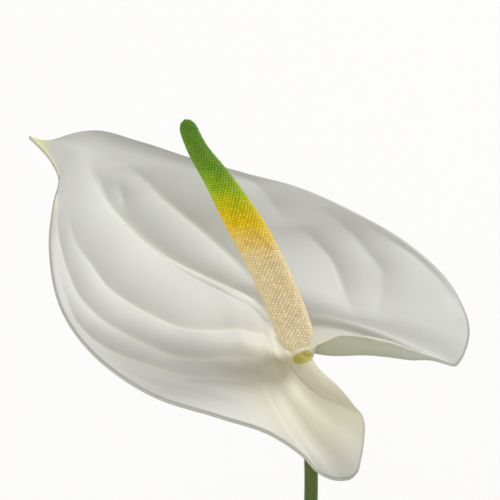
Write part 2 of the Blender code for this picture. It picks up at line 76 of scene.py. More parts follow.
def add(tree, kind, inputs=(), ramp=(), **settings):
    """Adds a node with its settings, a ramp's stops, and its inputs as values or linked outputs."""
    made = tree.nodes.new(kind)
    for name, value in settings.items():
        setattr(made, name, value)
    for k, (place, code) in enumerate(ramp):
        stops = made.color_ramp.elements
        stop = stops[k] if k < 2 else stops.new(place)
        stop.position = place
        stop.color = linear(code) if isinstance(code, str) else (code, code, code, 1.0)
    for socket, value in dict(inputs).items():
        if isinstance(value, bpy.types.NodeSocket):
            tree.links.new(value, made.inputs[socket])
        else:
            made.inputs[socket].default_value = value
    return made


def new_finish(name, **constants):
    """A material for one real finish, with its shader's constant values: (material, tree, shader)."""
    made = bpy.data.materials.new(name)
    made.use_nodes = True
    shader = made.node_tree.nodes["Principled BSDF"]
    for socket, value in constants.items():
        shader.inputs[socket.replace("_", " ")].default_value = value
    return made, made.node_tree, shader


def new_piece(name, mesh, *finishes):
    mesh.name = name
    made = bpy.data.objects.new(name, mesh)
    for finish in finishes:
        made.data.materials.append(finish)
    bpy.context.scene.collection.objects.link(made)
    return made


def settle(piece):
    """Turns a piece and its modifiers into a plain mesh."""
    bpy.context.view_layer.update()
    graph = bpy.context.evaluated_depsgraph_get()
    mesh = bpy.data.meshes.new_from_object(piece.evaluated_get(graph))
    piece.modifiers.clear()
    piece.data = mesh
    return piece


def inner_radius(height):
    """Radius of the pot's inner wall at this height."""
    foot = POT_FOOT_RADIUS - POT_WALL
    mouth = POT_RIM_RADIUS - RIM_PROUD - POT_WALL
    return foot + (mouth - foot) * (height - POT_FLOOR) / (POT_HEIGHT - POT_FLOOR)


def rounded(corners, radius):
    """An outline of (radius, height) corners with arcs in place of its inner corners."""
    outline = [corners[0]]
    for before, corner, after in zip(corners, corners[1:], corners[2:]):
        before, corner, after = Vector(before), Vector(corner), Vector(after)
        cut = min(radius, (before - corner).length / 2, (after - corner).length / 2)
        start = corner + (before - corner).normalized() * cut
        end = corner + (after - corner).normalized() * cut
        for k in range(CORNER_STEPS + 1):
            t = k / CORNER_STEPS
            outline.append(tuple(start.lerp(corner, t).lerp(corner.lerp(end, t), t)))
    return outline + [corners[-1]]


def with_steps(outline, step):
    """The same outline with points no further apart than the step."""
    fine = [outline[0]]
    for first, second in zip(outline, outline[1:]):
        count = max(1, math.ceil(math.dist(first, second) / step))
        fine += [tuple(Vector(first).lerp(Vector(second), k / count)) for k in range(1, count + 1)]
    return fine


def turned(name, outline, sides, *finishes):
    """An outline, with its outer side from top to bottom, turned about Z into a closed piece."""
    bm = bmesh.new()
    points = [bm.verts.new((r, 0.0, z)) for r, z in outline]
    for first, second in zip(points, points[1:]):
        bm.edges.new((first, second))
    mesh = bpy.data.meshes.new(name)
    bm.to_mesh(mesh)
    bm.free()
    made = new_piece(name, mesh, *finishes)
    screw = made.modifiers.new("turn", "SCREW")
    screw.steps = sides
    screw.render_steps = sides
    screw.use_merge_vertices = True
    screw.merge_threshold = MERGE
    screw.use_normal_calculate = True
    return settle(made)


# Fired terracotta: a matt, slightly chalky orange brown with darker grit, faint turning rings, and a
# pale bloom of lime where water has dried out through the wall.
TERRACOTTA_GRIT = 0.0011
TERRACOTTA_PATCH = 0.030
BLOOM_PATCH = 0.016
terracotta, tree, shader = new_finish("fired_terracotta", IOR=1.5, Specular_IOR_Level=0.3)
place = add(tree, "ShaderNodeTexCoord").outputs["Object"]
patches = add(tree, "ShaderNodeTexNoise", {"Vector": place, "Scale": 1 / TERRACOTTA_PATCH, "Detail": 5.0})
body = add(tree, "ShaderNodeValToRGB", {"Fac": patches.outputs["Fac"]},
           ramp=((0.3, "#A65C3C"), (0.7, "#BF7550")))
grit = add(tree, "ShaderNodeTexNoise", {"Vector": place, "Scale": 1 / TERRACOTTA_GRIT, "Detail": 3.0})
specks = add(tree, "ShaderNodeValToRGB", {"Fac": grit.outputs["Fac"]}, ramp=((0.30, 0.75), (0.40, 0.0)))
speckled = add(tree, "ShaderNodeMix", {"Factor": specks.outputs["Color"], "A": body.outputs["Color"],
                                       "B": linear("#7C452E")}, data_type="RGBA")
height = add(tree, "ShaderNodeSeparateXYZ", {"Vector": place}).outputs["Z"]
damp = add(tree, "ShaderNodeMapRange", {"Value": height, "From Min": 0.070, "From Max": 0.004})
lime = add(tree, "ShaderNodeTexNoise", {"Vector": place, "Scale": 1 / BLOOM_PATCH, "Detail": 7.0,
                                        "Roughness": 0.62})
drift = add(tree, "ShaderNodeMath", {0: lime.outputs["Fac"], 1: damp.outputs["Result"], 2: 0.32},
            operation="MULTIPLY_ADD")
bloom = add(tree, "ShaderNodeMapRange", {"Value": drift.outputs["Value"], "From Min": 0.48,
                                         "From Max": 0.95, "To Max": 0.75})
tree.links.new(add(tree, "ShaderNodeMath", {0: damp.outputs["Result"], 1: 0.30}, operation="MULTIPLY")
               .outputs["Value"], drift.inputs[2])
clay_colour = add(tree, "ShaderNodeMix", {"Factor": bloom.outputs["Result"], "A": speckled.outputs["Result"],
                                          "B": linear("#D8BFA9")}, data_type="RGBA")
tree.links.new(clay_colour.outputs["Result"], shader.inputs["Base Color"])
chalk = add(tree, "ShaderNodeMapRange", {"Value": grit.outputs["Fac"], "To Min": 0.72, "To Max": 0.95})
tree.links.new(chalk.outputs["Result"], shader.inputs["Roughness"])
grain = add(tree, "ShaderNodeBump", {"Height": grit.outputs["Fac"], "Strength": 0.25,
                                     "Distance": 0.0003})
tree.links.new(grain.outputs["Normal"], shader.inputs["Normal"])

band = POT_HEIGHT - RIM_HEIGHT
inside = [(0.0, POT_FLOOR), (inner_radius(POT_FLOOR), POT_FLOOR), (inner_radius(POT_HEIGHT), POT_HEIGHT)]
outside = [
    (POT_RIM_RADIUS, POT_HEIGHT),
    (POT_RIM_RADIUS - RIM_TAPER, band),
    (inner_radius(band) + POT_WALL, band),
    (POT_FOOT_RADIUS, 0.0),
    (0.0, 0.0),
]
outline = []
for r, z in with_steps(rounded(inside + outside, CORNER_RADIUS), TURNING_STEP):
    on_wall = 0.5 * MM < z < POT_HEIGHT - 0.5 * MM and r > 0.9 * POT_FOOT_RADIUS
    ring = noise.noise((r / TURNING_WIDTH, 0.0, z / TURNING_WIDTH)) if on_wall else 0.0
    outline.append((r + TURNING_DEPTH * min(ring, 0.0), z))
pot = turned("terracotta_pot", outline, POT_SIDES, terracotta)
for k in range(DRAIN_COUNT):
    angle = 2 * math.pi * k / DRAIN_COUNT
    at = (DRAIN_CIRCLE * math.cos(angle), DRAIN_CIRCLE * math.sin(angle), POT_FLOOR / 2)
    bpy.ops.mesh.primitive_cylinder_add(vertices=32, radius=DRAIN_RADIUS, depth=3 * POT_FLOOR, location=at)
    drill = bpy.context.object
    cut = pot.modifiers.new("drain", "BOOLEAN")
    cut.object = drill
    settle(pot)
    bpy.data.objects.remove(drill)
pot.data.shade_smooth()
pot.data.set_sharp_from_angle(angle=math.radians(50))
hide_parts("pot")
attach(pot, "root")

# Soil. A loose mix of composted bark, peat and a little perlite, tipped into the pot round the stems
# and heaped towards the middle. Only its top and what shows in the drain holes is ever seen.
GAP = 0.0003
SOIL_LEVEL = 0.113
SOIL_HEAP = 0.007
SOIL_LUMP = 0.0022
SOIL_LUMP_SIZE = 0.016
SOIL_STEP = 0.0022
SOIL_SIDES = 96
CHIP_SIZE = 0.0075
CHIP_DENSITY = 46000.0
CRUMB_SIZE = 0.0026
CRUMB_DENSITY = 230000.0
PERLITE_SIZE = 0.0024
PERLITE_DENSITY = 9000.0
SOIL_SEED = 11
PEAT_CRUMB = 0.0016
BARK_FIBRE = 0.0011
PERLITE_PORE = 0.0008

# Peat: almost black when damp, dull, and crumbly all over.
peat, tree, shader = new_finish("damp_peat", Roughness=0.95, Specular_IOR_Level=0.2)
place = add(tree, "ShaderNodeTexCoord").outputs["Object"]
crumbs = add(tree, "ShaderNodeTexNoise", {"Vector": place, "Scale": 1 / PEAT_CRUMB, "Detail": 4.0})
peat_colour = add(tree, "ShaderNodeValToRGB", {"Fac": crumbs.outputs["Fac"]},
                  ramp=((0.3, "#1B120C"), (0.7, "#3A281B")))
tree.links.new(peat_colour.outputs["Color"], shader.inputs["Base Color"])
crumble = add(tree, "ShaderNodeBump", {"Height": crumbs.outputs["Fac"], "Strength": 0.6, "Distance": 0.001})
tree.links.new(crumble.outputs["Normal"], shader.inputs["Normal"])

# Composted pine bark: brown flakes, each of its own shade, with a rough fibrous face.
bark, tree, shader = new_finish("composted_bark", Roughness=0.85, Specular_IOR_Level=0.3)
tone = add(tree, "ShaderNodeAttribute", attribute_name="tone")
place = add(tree, "ShaderNodeTexCoord").outputs["Object"]
fibre = add(tree, "ShaderNodeTexNoise", {"Vector": place, "Scale": 1 / BARK_FIBRE, "Detail": 5.0})
shade = add(tree, "ShaderNodeMath", {0: fibre.outputs["Fac"], 1: 0.5, 2: tone.outputs["Fac"]},
            operation="MULTIPLY_ADD")
bark_colour = add(tree, "ShaderNodeValToRGB", {"Fac": shade.outputs["Value"]},
                  ramp=((0.25, "#22150D"), (0.75, "#4C3222"), (1.0, "#7A583C")))
tree.links.new(bark_colour.outputs["Color"], shader.inputs["Base Color"])
rough = add(tree, "ShaderNodeBump", {"Height": fibre.outputs["Fac"], "Strength": 0.7, "Distance": 0.0008})
tree.links.new(rough.outputs["Normal"], shader.inputs["Normal"])

# Perlite: expanded volcanic glass, in dull off-white grains.
perlite, tree, shader = new_finish("perlite", Roughness=0.9)
place = add(tree, "ShaderNodeTexCoord").outputs["Object"]
pores = add(tree, "ShaderNodeTexNoise", {"Vector": place, "Scale": 1 / PERLITE_PORE, "Detail": 2.0})
perlite_colour = add(tree, "ShaderNodeValToRGB", {"Fac": pores.outputs["Fac"]},
                     ramp=((0.3, "#B9B2A2"), (0.6, "#E6E1D6")))
tree.links.new(perlite_colour.outputs["Color"], shader.inputs["Base Color"])


def scatter_tree():
    """Geometry nodes that strew bark, crumbs and perlite over the top of the soil."""
    tree = bpy.data.node_groups.new("strewn_soil", "GeometryNodeTree")
    face = tree.interface
    face.new_socket("Geometry", in_out="INPUT", socket_type="NodeSocketGeometry")
    for name in ("Chip size", "Chip density", "Crumb size", "Crumb density", "Perlite size",
                 "Perlite density", "Edge radius"):
        face.new_socket(name, in_out="INPUT", socket_type="NodeSocketFloat")
    face.new_socket("Seed", in_out="INPUT", socket_type="NodeSocketInt")
    face.new_socket("Geometry", in_out="OUTPUT", socket_type="NodeSocketGeometry")
    start = add(tree, "NodeGroupInput").outputs
    up = add(tree, "ShaderNodeSeparateXYZ", {0: add(tree, "GeometryNodeInputNormal").outputs["Normal"]})
    facing = add(tree, "FunctionNodeCompare", {0: up.outputs["Z"], 1: 0.6}, operation="GREATER_THAN")
    flat = add(tree, "ShaderNodeVectorMath", {0: add(tree, "GeometryNodeInputPosition").outputs["Position"],
                                              1: (1.0, 1.0, 0.0)}, operation="MULTIPLY")
    reach = add(tree, "ShaderNodeVectorMath", {0: flat.outputs["Vector"]}, operation="LENGTH")
    held = add(tree, "FunctionNodeCompare", {0: reach.outputs["Value"], 1: start["Edge radius"]},
               operation="LESS_THAN")
    top = add(tree, "FunctionNodeBooleanMath", {0: facing.outputs["Result"], 1: held.outputs["Result"]})
    flake = add(tree, "GeometryNodeMeshIcoSphere", {"Radius": 0.5, "Subdivisions": 1})
    grain = add(tree, "GeometryNodeMeshIcoSphere", {"Radius": 0.5, "Subdivisions": 2})
    layers = [start["Geometry"]]
    kinds = (
        (flake, "Chip", (0.45, 0.30, 0.16), (1.25, 0.75, 0.42), bark),
        (flake, "Crumb", (0.50, 0.40, 0.30), (1.30, 0.90, 0.70), bark),
        (grain, "Perlite", (0.70, 0.70, 0.60), (1.15, 1.05, 0.95), perlite),
    )
    for k, (shape, kind, least, most, finish) in enumerate(kinds):
        seed = add(tree, "ShaderNodeMath", {0: start["Seed"], 1: float(10 * k)}, operation="ADD")
        spots = add(tree, "GeometryNodeDistributePointsOnFaces",
                    {"Mesh": start["Geometry"], "Selection": top.outputs["Boolean"],
                     "Density": start[kind + " density"], "Seed": seed.outputs["Value"]})
        turn = add(tree, "FunctionNodeRandomValue", {"Max": (6.3, 6.3, 6.3), "Seed": seed.outputs["Value"]},
                   data_type="FLOAT_VECTOR")
        stretch = add(tree, "FunctionNodeRandomValue", {"Min": least, "Max": most,
                                                        "Seed": seed.outputs["Value"]},
                      data_type="FLOAT_VECTOR")
        size = add(tree, "ShaderNodeVectorMath", {0: stretch.outputs["Value"]}, operation="SCALE")
        tree.links.new(start[kind + " size"], size.inputs["Scale"])
        laid = add(tree, "GeometryNodeInstanceOnPoints",
                   {"Points": spots.outputs["Points"], "Instance": shape.outputs["Mesh"],
                    "Rotation": turn.outputs["Value"], "Scale": size.outputs["Vector"]})
        shade = add(tree, "FunctionNodeRandomValue", {2: 0.0, 3: 0.6, "Seed": seed.outputs["Value"]})
        toned = add(tree, "GeometryNodeStoreNamedAttribute",
                    {"Geometry": laid.outputs["Instances"], "Name": "tone", "Value": shade.outputs[1]},
                    data_type="FLOAT", domain="INSTANCE")
        real = add(tree, "GeometryNodeRealizeInstances", {"Geometry": toned.outputs["Geometry"]})
        layers.append(add(tree, "GeometryNodeSetMaterial", {"Geometry": real.outputs["Geometry"],
                                                            "Material": finish}).outputs["Geometry"])
    joined = add(tree, "GeometryNodeJoinGeometry")
    for layer in reversed(layers):
        tree.links.new(layer, joined.inputs["Geometry"])
    add(tree, "NodeGroupOutput", {"Geometry": joined.outputs["Geometry"]})
    return tree


def grow(piece, tree, **inputs):
    """Runs a geometry node tree on a piece with its inputs set by name, and keeps the plain mesh."""
    nodes = piece.modifiers.new(tree.name, "NODES")
    nodes.node_group = tree
    for item in tree.interface.items_tree:
        if item.item_type == "SOCKET" and item.in_out == "INPUT" and item.name in inputs:
            nodes[item.identifier] = inputs[item.name]
    return settle(piece)


soil_edge = inner_radius(SOIL_LEVEL) - GAP
top = []
r = 0.0
while r < soil_edge:
    top.append((r, SOIL_LEVEL + SOIL_HEAP * (1 - (r / soil_edge) ** 2)))
    r += SOIL_STEP
soil_floor = POT_FLOOR + GAP
side = [(soil_edge, SOIL_LEVEL), (inner_radius(soil_floor) - GAP, soil_floor), (0.0, soil_floor)]
soil = turned("potting_soil", top + side, SOIL_SIDES, peat)
for vert in soil.data.vertices:
    if vert.co.z > SOIL_LEVEL - MERGE and math.hypot(vert.co.x, vert.co.y) < soil_edge - GAP:
        vert.co.z += SOIL_LUMP * noise.noise(vert.co / SOIL_LUMP_SIZE)
grow(soil, scatter_tree(), **{
    "Chip size": CHIP_SIZE, "Chip density": CHIP_DENSITY, "Crumb size": CRUMB_SIZE,
    "Crumb density": CRUMB_DENSITY, "Perlite size": PERLITE_SIZE, "Perlite density": PERLITE_DENSITY,
    "Edge radius": soil_edge - CHIP_SIZE / 2, "Seed": SOIL_SEED})
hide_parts("soil")
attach(soil, "root")

# Leaves. Nine heart-shaped leaves stand on round stalks that rise from the crown in the soil. Each one
# is leathery and glossy, with a pale rib, side veins that curve to a vein inside the edge, and a
# thicker knee where the stalk meets the blade, and it grew in one piece.
SOIL_ENTRY = 0.018
LEAF_EDGE = (
    (0, 0),
    (-0.055, 0.045),
    (-0.14, 0.11),
    (-0.185, 0.19),
    (-0.16, 0.29),
    (-0.05, 0.37),
    (0.12, 0.395),
    (0.32, 0.355),
    (0.54, 0.26),
    (0.75, 0.15),
    (0.90, 0.065),
    (1.0, 0),
)
# Heading in degrees, reach and height of the knee, length, droop of the tip, tilt and sag in degrees
LEAVES = (
    (250, 0.100, 0.192, 0.155, 28, 5, 30),
    (310, 0.098, 0.252, 0.162, 32, -6, 30),
    (10, 0.102, 0.196, 0.158, 30, 6, 32),
    (70, 0.096, 0.246, 0.158, 34, -5, 28),
    (130, 0.100, 0.188, 0.152, 26, 5, 32),
    (190, 0.102, 0.256, 0.165, 32, -5, 30),
    (280, 0.055, 0.306, 0.138, 28, -4, 26),
    (38, 0.058, 0.300, 0.132, 30, 5, 26),
    (158, 0.056, 0.310, 0.135, 26, 4, 28),
)
OUTER_LEAVES = 6
OUTER_RING = 0.019
INNER_RING = 0.011
LEAF_ROWS = 110
LEAF_COLUMNS = 81
LEAF_THICK = 0.0008
LEAF_RISE = 0.10
LEAF_FALL = 0.9
LEAF_WAVE = 0.035
LEAF_WAVE_TURNS = 9.0
LEAF_PUFF = 0.0007
SIDE_VEINS = 11.0
VEIN_LEAN = 0.17
RIM_VEIN_AT = 0.93
ROW_BOW = 0.40
ROW_BOW_END = 0.42
ROLL_SHARE = 0.9
CURL_STEPS = 12
CURL_GROWTH = 1.2
ROW_GROWTH = 1.2
FADE_IN = 0.14
FADE_OUT = 0.2
PETIOLE_RADIUS = 0.0021
PETIOLE_FOOT_RADIUS = 0.0029
STALK_SIDES = 20
PETIOLE_STEPS = 70
KNEE_LENGTH = 0.016
KNEE_RADIUS = 0.0029
KNEE_SINK = 0.0006
KNEE_INSET = 0.004
# A stalk's way up: at a low and a high share of its height it stands out from the pot's middle by
# these multiples of its place in the soil, and the high point has come this share of the way to the
# knee, into which the stalk then turns
STALK_LOW = 0.25
STALK_LOW_SPREAD = 1.15
STALK_HIGH = 0.68
STALK_HIGH_SPREAD = 1.6
STALK_REACH = 0.42
KNEE_TURN = 1.2
KNEE_RUN = 1.4


def smooth_curve(knots, values, x):
    """Reads a smooth curve through the values at these knots."""
    knots, values = np.array(knots, float), np.array(values, float)
    slope = np.gradient(values, knots, axis=0)
    x = np.clip(x, knots[0], knots[-1])
    i = np.clip(np.searchsorted(knots, x, side="right") - 1, 0, len(knots) - 2)
    h = knots[i + 1] - knots[i]
    s = (x - knots[i]) / h
    if values.ndim > 1:
        h, s = h[..., None], s[..., None]
    start = (2 * s**3 - 3 * s**2 + 1) * values[i] + (s**3 - 2 * s**2 + s) * h * slope[i]
    return start + (-2 * s**3 + 3 * s**2) * values[i + 1] + (s**3 - s**2) * h * slope[i + 1]


def smooth_line(points, share):
    """Reads a smooth curve through the points at each share of its length."""
    p = np.array(points, float)
    steps = np.linalg.norm(np.diff(p[:, :3], axis=0), axis=1)
    knots = np.concatenate(([0.0], np.cumsum(steps)))
    return smooth_curve(knots, p, np.array(share) * knots[-1])


def ease(x):
    x = np.clip(x, 0.0, 1.0)
    return x * x * (3 - 2 * x)


def curl(roll, share):
    """How far along and how far up a strip of length one gets at this share of it, when it rolls
    up by this angle in all, ever tighter towards its end."""
    steps = (np.arange(CURL_STEPS) + 0.5) / CURL_STEPS
    turn = roll[..., None] * (share[..., None] * steps) ** CURL_GROWTH
    return share * np.cos(turn).mean(axis=-1), share * np.sin(turn).mean(axis=-1)


def heart_blade(a, s, midrib, right_edge, left_edge):
    """Points of a heart-shaped blade: a runs from the join to the tip, and s from the left edge
    (-1) over the midrib (0) to the right edge (1). Close to the join each row bows round it. An
    edge gives along, across, above, the angle by which a strip of it rolls up, and its width."""
    side = np.where(s >= 0, 1.0, -1.0)
    edge = np.where(side[..., None] > 0, smooth_line(right_edge, a), smooth_line(left_edge, a))
    middle = smooth_line(midrib, a)
    roll = np.radians(edge[..., 3])
    longest = ROLL_SHARE * np.linalg.norm(edge[..., :3] - middle, axis=-1) + 1e-9
    strip = np.minimum(edge[..., 4], longest)
    level, risen = curl(roll, np.ones_like(roll))
    foot = edge[..., :3].copy()
    foot[..., 2] -= strip * risen
    chord = foot - middle
    bow = ROW_BOW * side * ease(1 - a / ROW_BOW_END)
    bent = middle + chord / 2
    bent[..., 0] += bow * chord[..., 1]
    bent[..., 1] -= bow * chord[..., 0]
    out = (foot - bent) / (np.linalg.norm(foot - bent, axis=-1)[..., None] + 1e-9)
    flat = foot + out * (strip - strip * level)[..., None]
    width = np.linalg.norm(flat - bent, axis=-1) + np.linalg.norm(bent - middle, axis=-1) + 1e-9
    share = np.abs(s)
    turned = np.maximum(strip - (1 - share) * width, 0.0)
    fold = (1 - strip / width)[..., None]
    held = np.minimum(share[..., None], fold)
    points = (1 - held) ** 2 * middle + 2 * held * (1 - held) * bent + held**2 * flat
    folded = (1 - fold) ** 2 * middle + 2 * fold * (1 - fold) * bent + fold**2 * flat
    points += (flat - out * strip[..., None] - folded) * (turned / strip)[..., None]
    level, risen = curl(roll, turned / strip)
    points += out * (strip * level)[..., None]
    points[..., 2] += strip * risen
    return points, width


def rows_along(count, first, last):
    """Shares of the way from the join to the tip, closer together towards the join."""
    between = first + (last - first) * np.linspace(0, 1, count - 1) ** ROW_GROWTH
    return np.concatenate(([0.0], between, [1.0]))


def blade_axes(heading, rise, side_rise):
    """Unit vectors along, across and above a blade whose tip has this heading and rise."""
    along = Vector((math.cos(rise) * math.cos(heading), math.cos(rise) * math.sin(heading), math.sin(rise)))
    level = Vector((math.sin(heading), -math.cos(heading), 0.0))
    up = level.cross(along)
    across = level * math.cos(side_rise) + up * math.sin(side_rise)
    above = up * math.cos(side_rise) - level * math.sin(side_rise)
    return np.array((along, across, above))


def blade_shell(name, points, fields, thickness, upper, under):
    """A closed blade from a grid of points on its under face, with a value of each field there."""
    rows, columns = points.shape[:2]
    bm = bmesh.new()
    layers = {field: bm.verts.layers.float.new(field) for field in fields}
    verts = []
    for k, point in enumerate(points.reshape(-1, 3)):
        vert = bm.verts.new(point)
        for field, layer in layers.items():
            vert[layer] = fields[field].flat[k]
        verts.append(vert)
    for i in range(rows - 1):
        for j in range(columns - 1):
            corner = i * columns + j
            bm.faces.new([verts[v] for v in (corner + columns, corner + columns + 1, corner + 1, corner)])
    bmesh.ops.remove_doubles(bm, verts=bm.verts, dist=MERGE)
    mesh = bpy.data.meshes.new(name)
    bm.to_mesh(mesh)
    bm.free()
    made = new_piece(name, mesh, under, upper)
    shell = made.modifiers.new("thickness", "SOLIDIFY")
    shell.thickness = thickness
    shell.offset = -1.0
    shell.material_offset = 1
    settle(made)
    made.data.shade_smooth()
    return made


def stalk(name, route, radii, finish):
    """A round closed stem through the points of a route."""
    steps = len(route)
    ahead = np.gradient(route, axis=0)
    ahead /= np.linalg.norm(ahead, axis=1)[:, None]
    side = np.cross(ahead, (0.0, 1.0, 0.0))
    side /= np.linalg.norm(side, axis=1)[:, None]
    other = np.cross(ahead, side)
    bm = bmesh.new()
    rings = []
    for k in range(steps):
        angles = 2 * math.pi * np.arange(STALK_SIDES) / STALK_SIDES
        ring = route[k] + radii[k] * (np.cos(angles)[:, None] * side[k] + np.sin(angles)[:, None] * other[k])
        rings.append([bm.verts.new(p) for p in ring])
    for low, high in zip(rings, rings[1:]):
        for i in range(STALK_SIDES):
            nxt = (i + 1) % STALK_SIDES
            bm.faces.new((low[i], low[nxt], high[nxt], high[i]))
    bm.faces.new(rings[0])
    bm.faces.new(rings[-1])
    bmesh.ops.recalc_face_normals(bm, faces=bm.faces)
    mesh = bpy.data.meshes.new(name)
    bm.to_mesh(mesh)
    bm.free()
    mesh.shade_smooth()
    return new_piece(name, mesh, finish)


def joined(first, *others):
    """Joins meshes into the first piece, keeping their materials and fields."""
    with bpy.context.temp_override(active_object=first, selected_editable_objects=[first, *others]):
        bpy.ops.object.join()
    return first


# Anthurium leaf: thick and leathery, dark green under a natural wax that gives broad soft highlights.
# The veins are paler and slightly sunken, and a fine net of small veins shows only close up.
NET_SIZE = 0.0032
LEAF_TONE_SIZE = 0.030
leaf_upper, tree, shader = new_finish("waxy_leaf", Specular_IOR_Level=0.5, Coat_Weight=0.25,
                                      Coat_Roughness=0.22)
place = add(tree, "ShaderNodeTexCoord").outputs["Object"]
phase = add(tree, "ShaderNodeAttribute", attribute_name="vein_phase").outputs["Fac"]
out = add(tree, "ShaderNodeAttribute", attribute_name="out").outputs["Fac"]
rib = add(tree, "ShaderNodeAttribute", attribute_name="rib_distance").outputs["Fac"]
tone = add(tree, "ShaderNodeTexNoise", {"Vector": place, "Scale": 1 / LEAF_TONE_SIZE, "Detail": 4.0})
blade = add(tree, "ShaderNodeValToRGB", {"Fac": tone.outputs["Fac"]},
            ramp=((0.3, "#1F4A1B"), (0.7, "#2E6428")))
saw = add(tree, "ShaderNodeMath", {0: phase, 1: 0.5}, operation="PINGPONG")
side_line = add(tree, "ShaderNodeMapRange", {"Value": saw.outputs["Value"], "From Min": 0.045,
                                             "From Max": 0.012}, interpolation_type="SMOOTHSTEP")
rim_off = add(tree, "ShaderNodeMath", {0: out, 1: RIM_VEIN_AT}, operation="SUBTRACT")
rim_near = add(tree, "ShaderNodeMath", {0: rim_off.outputs["Value"]}, operation="ABSOLUTE")
rim_line = add(tree, "ShaderNodeMapRange", {"Value": rim_near.outputs["Value"], "From Min": 0.014,
                                            "From Max": 0.003}, interpolation_type="SMOOTHSTEP")
inside_rim = add(tree, "ShaderNodeMath", {0: out, 1: RIM_VEIN_AT}, operation="LESS_THAN")
side_line = add(tree, "ShaderNodeMath", {0: side_line.outputs["Result"], 1: inside_rim.outputs["Value"]},
                operation="MULTIPLY")
lines = add(tree, "ShaderNodeMath", {0: side_line.outputs["Value"], 1: rim_line.outputs["Result"]},
            operation="MAXIMUM")
net = add(tree, "ShaderNodeTexVoronoi", {"Vector": place, "Scale": 1 / NET_SIZE},
          feature="DISTANCE_TO_EDGE")
net_line = add(tree, "ShaderNodeMapRange", {"Value": net.outputs["Distance"], "From Min": 0.10,
                                            "From Max": 0.0, "To Max": 0.22})
veined = add(tree, "ShaderNodeMath", {0: lines.outputs["Value"], 1: 0.62}, operation="MULTIPLY")
veined = add(tree, "ShaderNodeMath", {0: veined.outputs["Value"], 1: net_line.outputs["Result"]},
             operation="MAXIMUM")
with_veins = add(tree, "ShaderNodeMix", {"Factor": veined.outputs["Value"], "A": blade.outputs["Color"],
                                         "B": linear("#6E9A45")}, data_type="RGBA")
rib_line = add(tree, "ShaderNodeMapRange", {"Value": rib, "From Min": 1.5, "From Max": 0.5},
               interpolation_type="SMOOTHSTEP")
with_rib = add(tree, "ShaderNodeMix", {"Factor": rib_line.outputs["Result"],
                                       "A": with_veins.outputs["Result"],
                                       "B": linear("#87A957")}, data_type="RGBA")
margin = add(tree, "ShaderNodeMapRange", {"Value": out, "From Min": 0.985, "From Max": 0.998,
                                          "To Max": 0.7})
with_margin = add(tree, "ShaderNodeMix", {"Factor": margin.outputs["Result"],
                                          "A": with_rib.outputs["Result"],
                                          "B": linear("#7E9C4C")}, data_type="RGBA")
tree.links.new(with_margin.outputs["Result"], shader.inputs["Base Color"])
gloss = add(tree, "ShaderNodeMapRange", {"Value": tone.outputs["Fac"], "To Min": 0.26, "To Max": 0.42})
tree.links.new(gloss.outputs["Result"], shader.inputs["Roughness"])
sunk = add(tree, "ShaderNodeMath", {0: lines.outputs["Value"], 1: -1.0, 2: 1.0}, operation="MULTIPLY_ADD")
netted = add(tree, "ShaderNodeMath", {0: net_line.outputs["Result"], 1: -0.5, 2: sunk.outputs["Value"]},
             operation="MULTIPLY_ADD")
relief = add(tree, "ShaderNodeBump", {"Height": netted.outputs["Value"], "Strength": 0.5,
                                      "Distance": 0.0004})
tree.links.new(relief.outputs["Normal"], shader.inputs["Normal"])

# Underside of the leaf: paler, greyer and less glossy, with the veins raised and lighter still.
leaf_under, tree, shader = new_finish("leaf_underside", Roughness=0.5, Specular_IOR_Level=0.4)
place = add(tree, "ShaderNodeTexCoord").outputs["Object"]
phase = add(tree, "ShaderNodeAttribute", attribute_name="vein_phase").outputs["Fac"]
rib = add(tree, "ShaderNodeAttribute", attribute_name="rib_distance").outputs["Fac"]
tone = add(tree, "ShaderNodeTexNoise", {"Vector": place, "Scale": 1 / LEAF_TONE_SIZE, "Detail": 4.0})
blade = add(tree, "ShaderNodeValToRGB", {"Fac": tone.outputs["Fac"]},
            ramp=((0.3, "#47752F"), (0.7, "#578641")))
saw = add(tree, "ShaderNodeMath", {0: phase, 1: 0.5}, operation="PINGPONG")
side_line = add(tree, "ShaderNodeMapRange", {"Value": saw.outputs["Value"], "From Min": 0.05,
                                             "From Max": 0.012}, interpolation_type="SMOOTHSTEP")
rib_line = add(tree, "ShaderNodeMapRange", {"Value": rib, "From Min": 1.7, "From Max": 0.7},
               interpolation_type="SMOOTHSTEP")
lines = add(tree, "ShaderNodeMath", {0: side_line.outputs["Result"], 1: rib_line.outputs["Result"]},
            operation="MAXIMUM")
with_veins = add(tree, "ShaderNodeMix", {"Factor": lines.outputs["Value"], "A": blade.outputs["Color"],
                                         "B": linear("#9DB872")}, data_type="RGBA")
tree.links.new(with_veins.outputs["Result"], shader.inputs["Base Color"])
relief = add(tree, "ShaderNodeBump", {"Height": lines.outputs["Value"], "Strength": 0.6,
                                      "Distance": 0.0005})
tree.links.new(relief.outputs["Normal"], shader.inputs["Normal"])

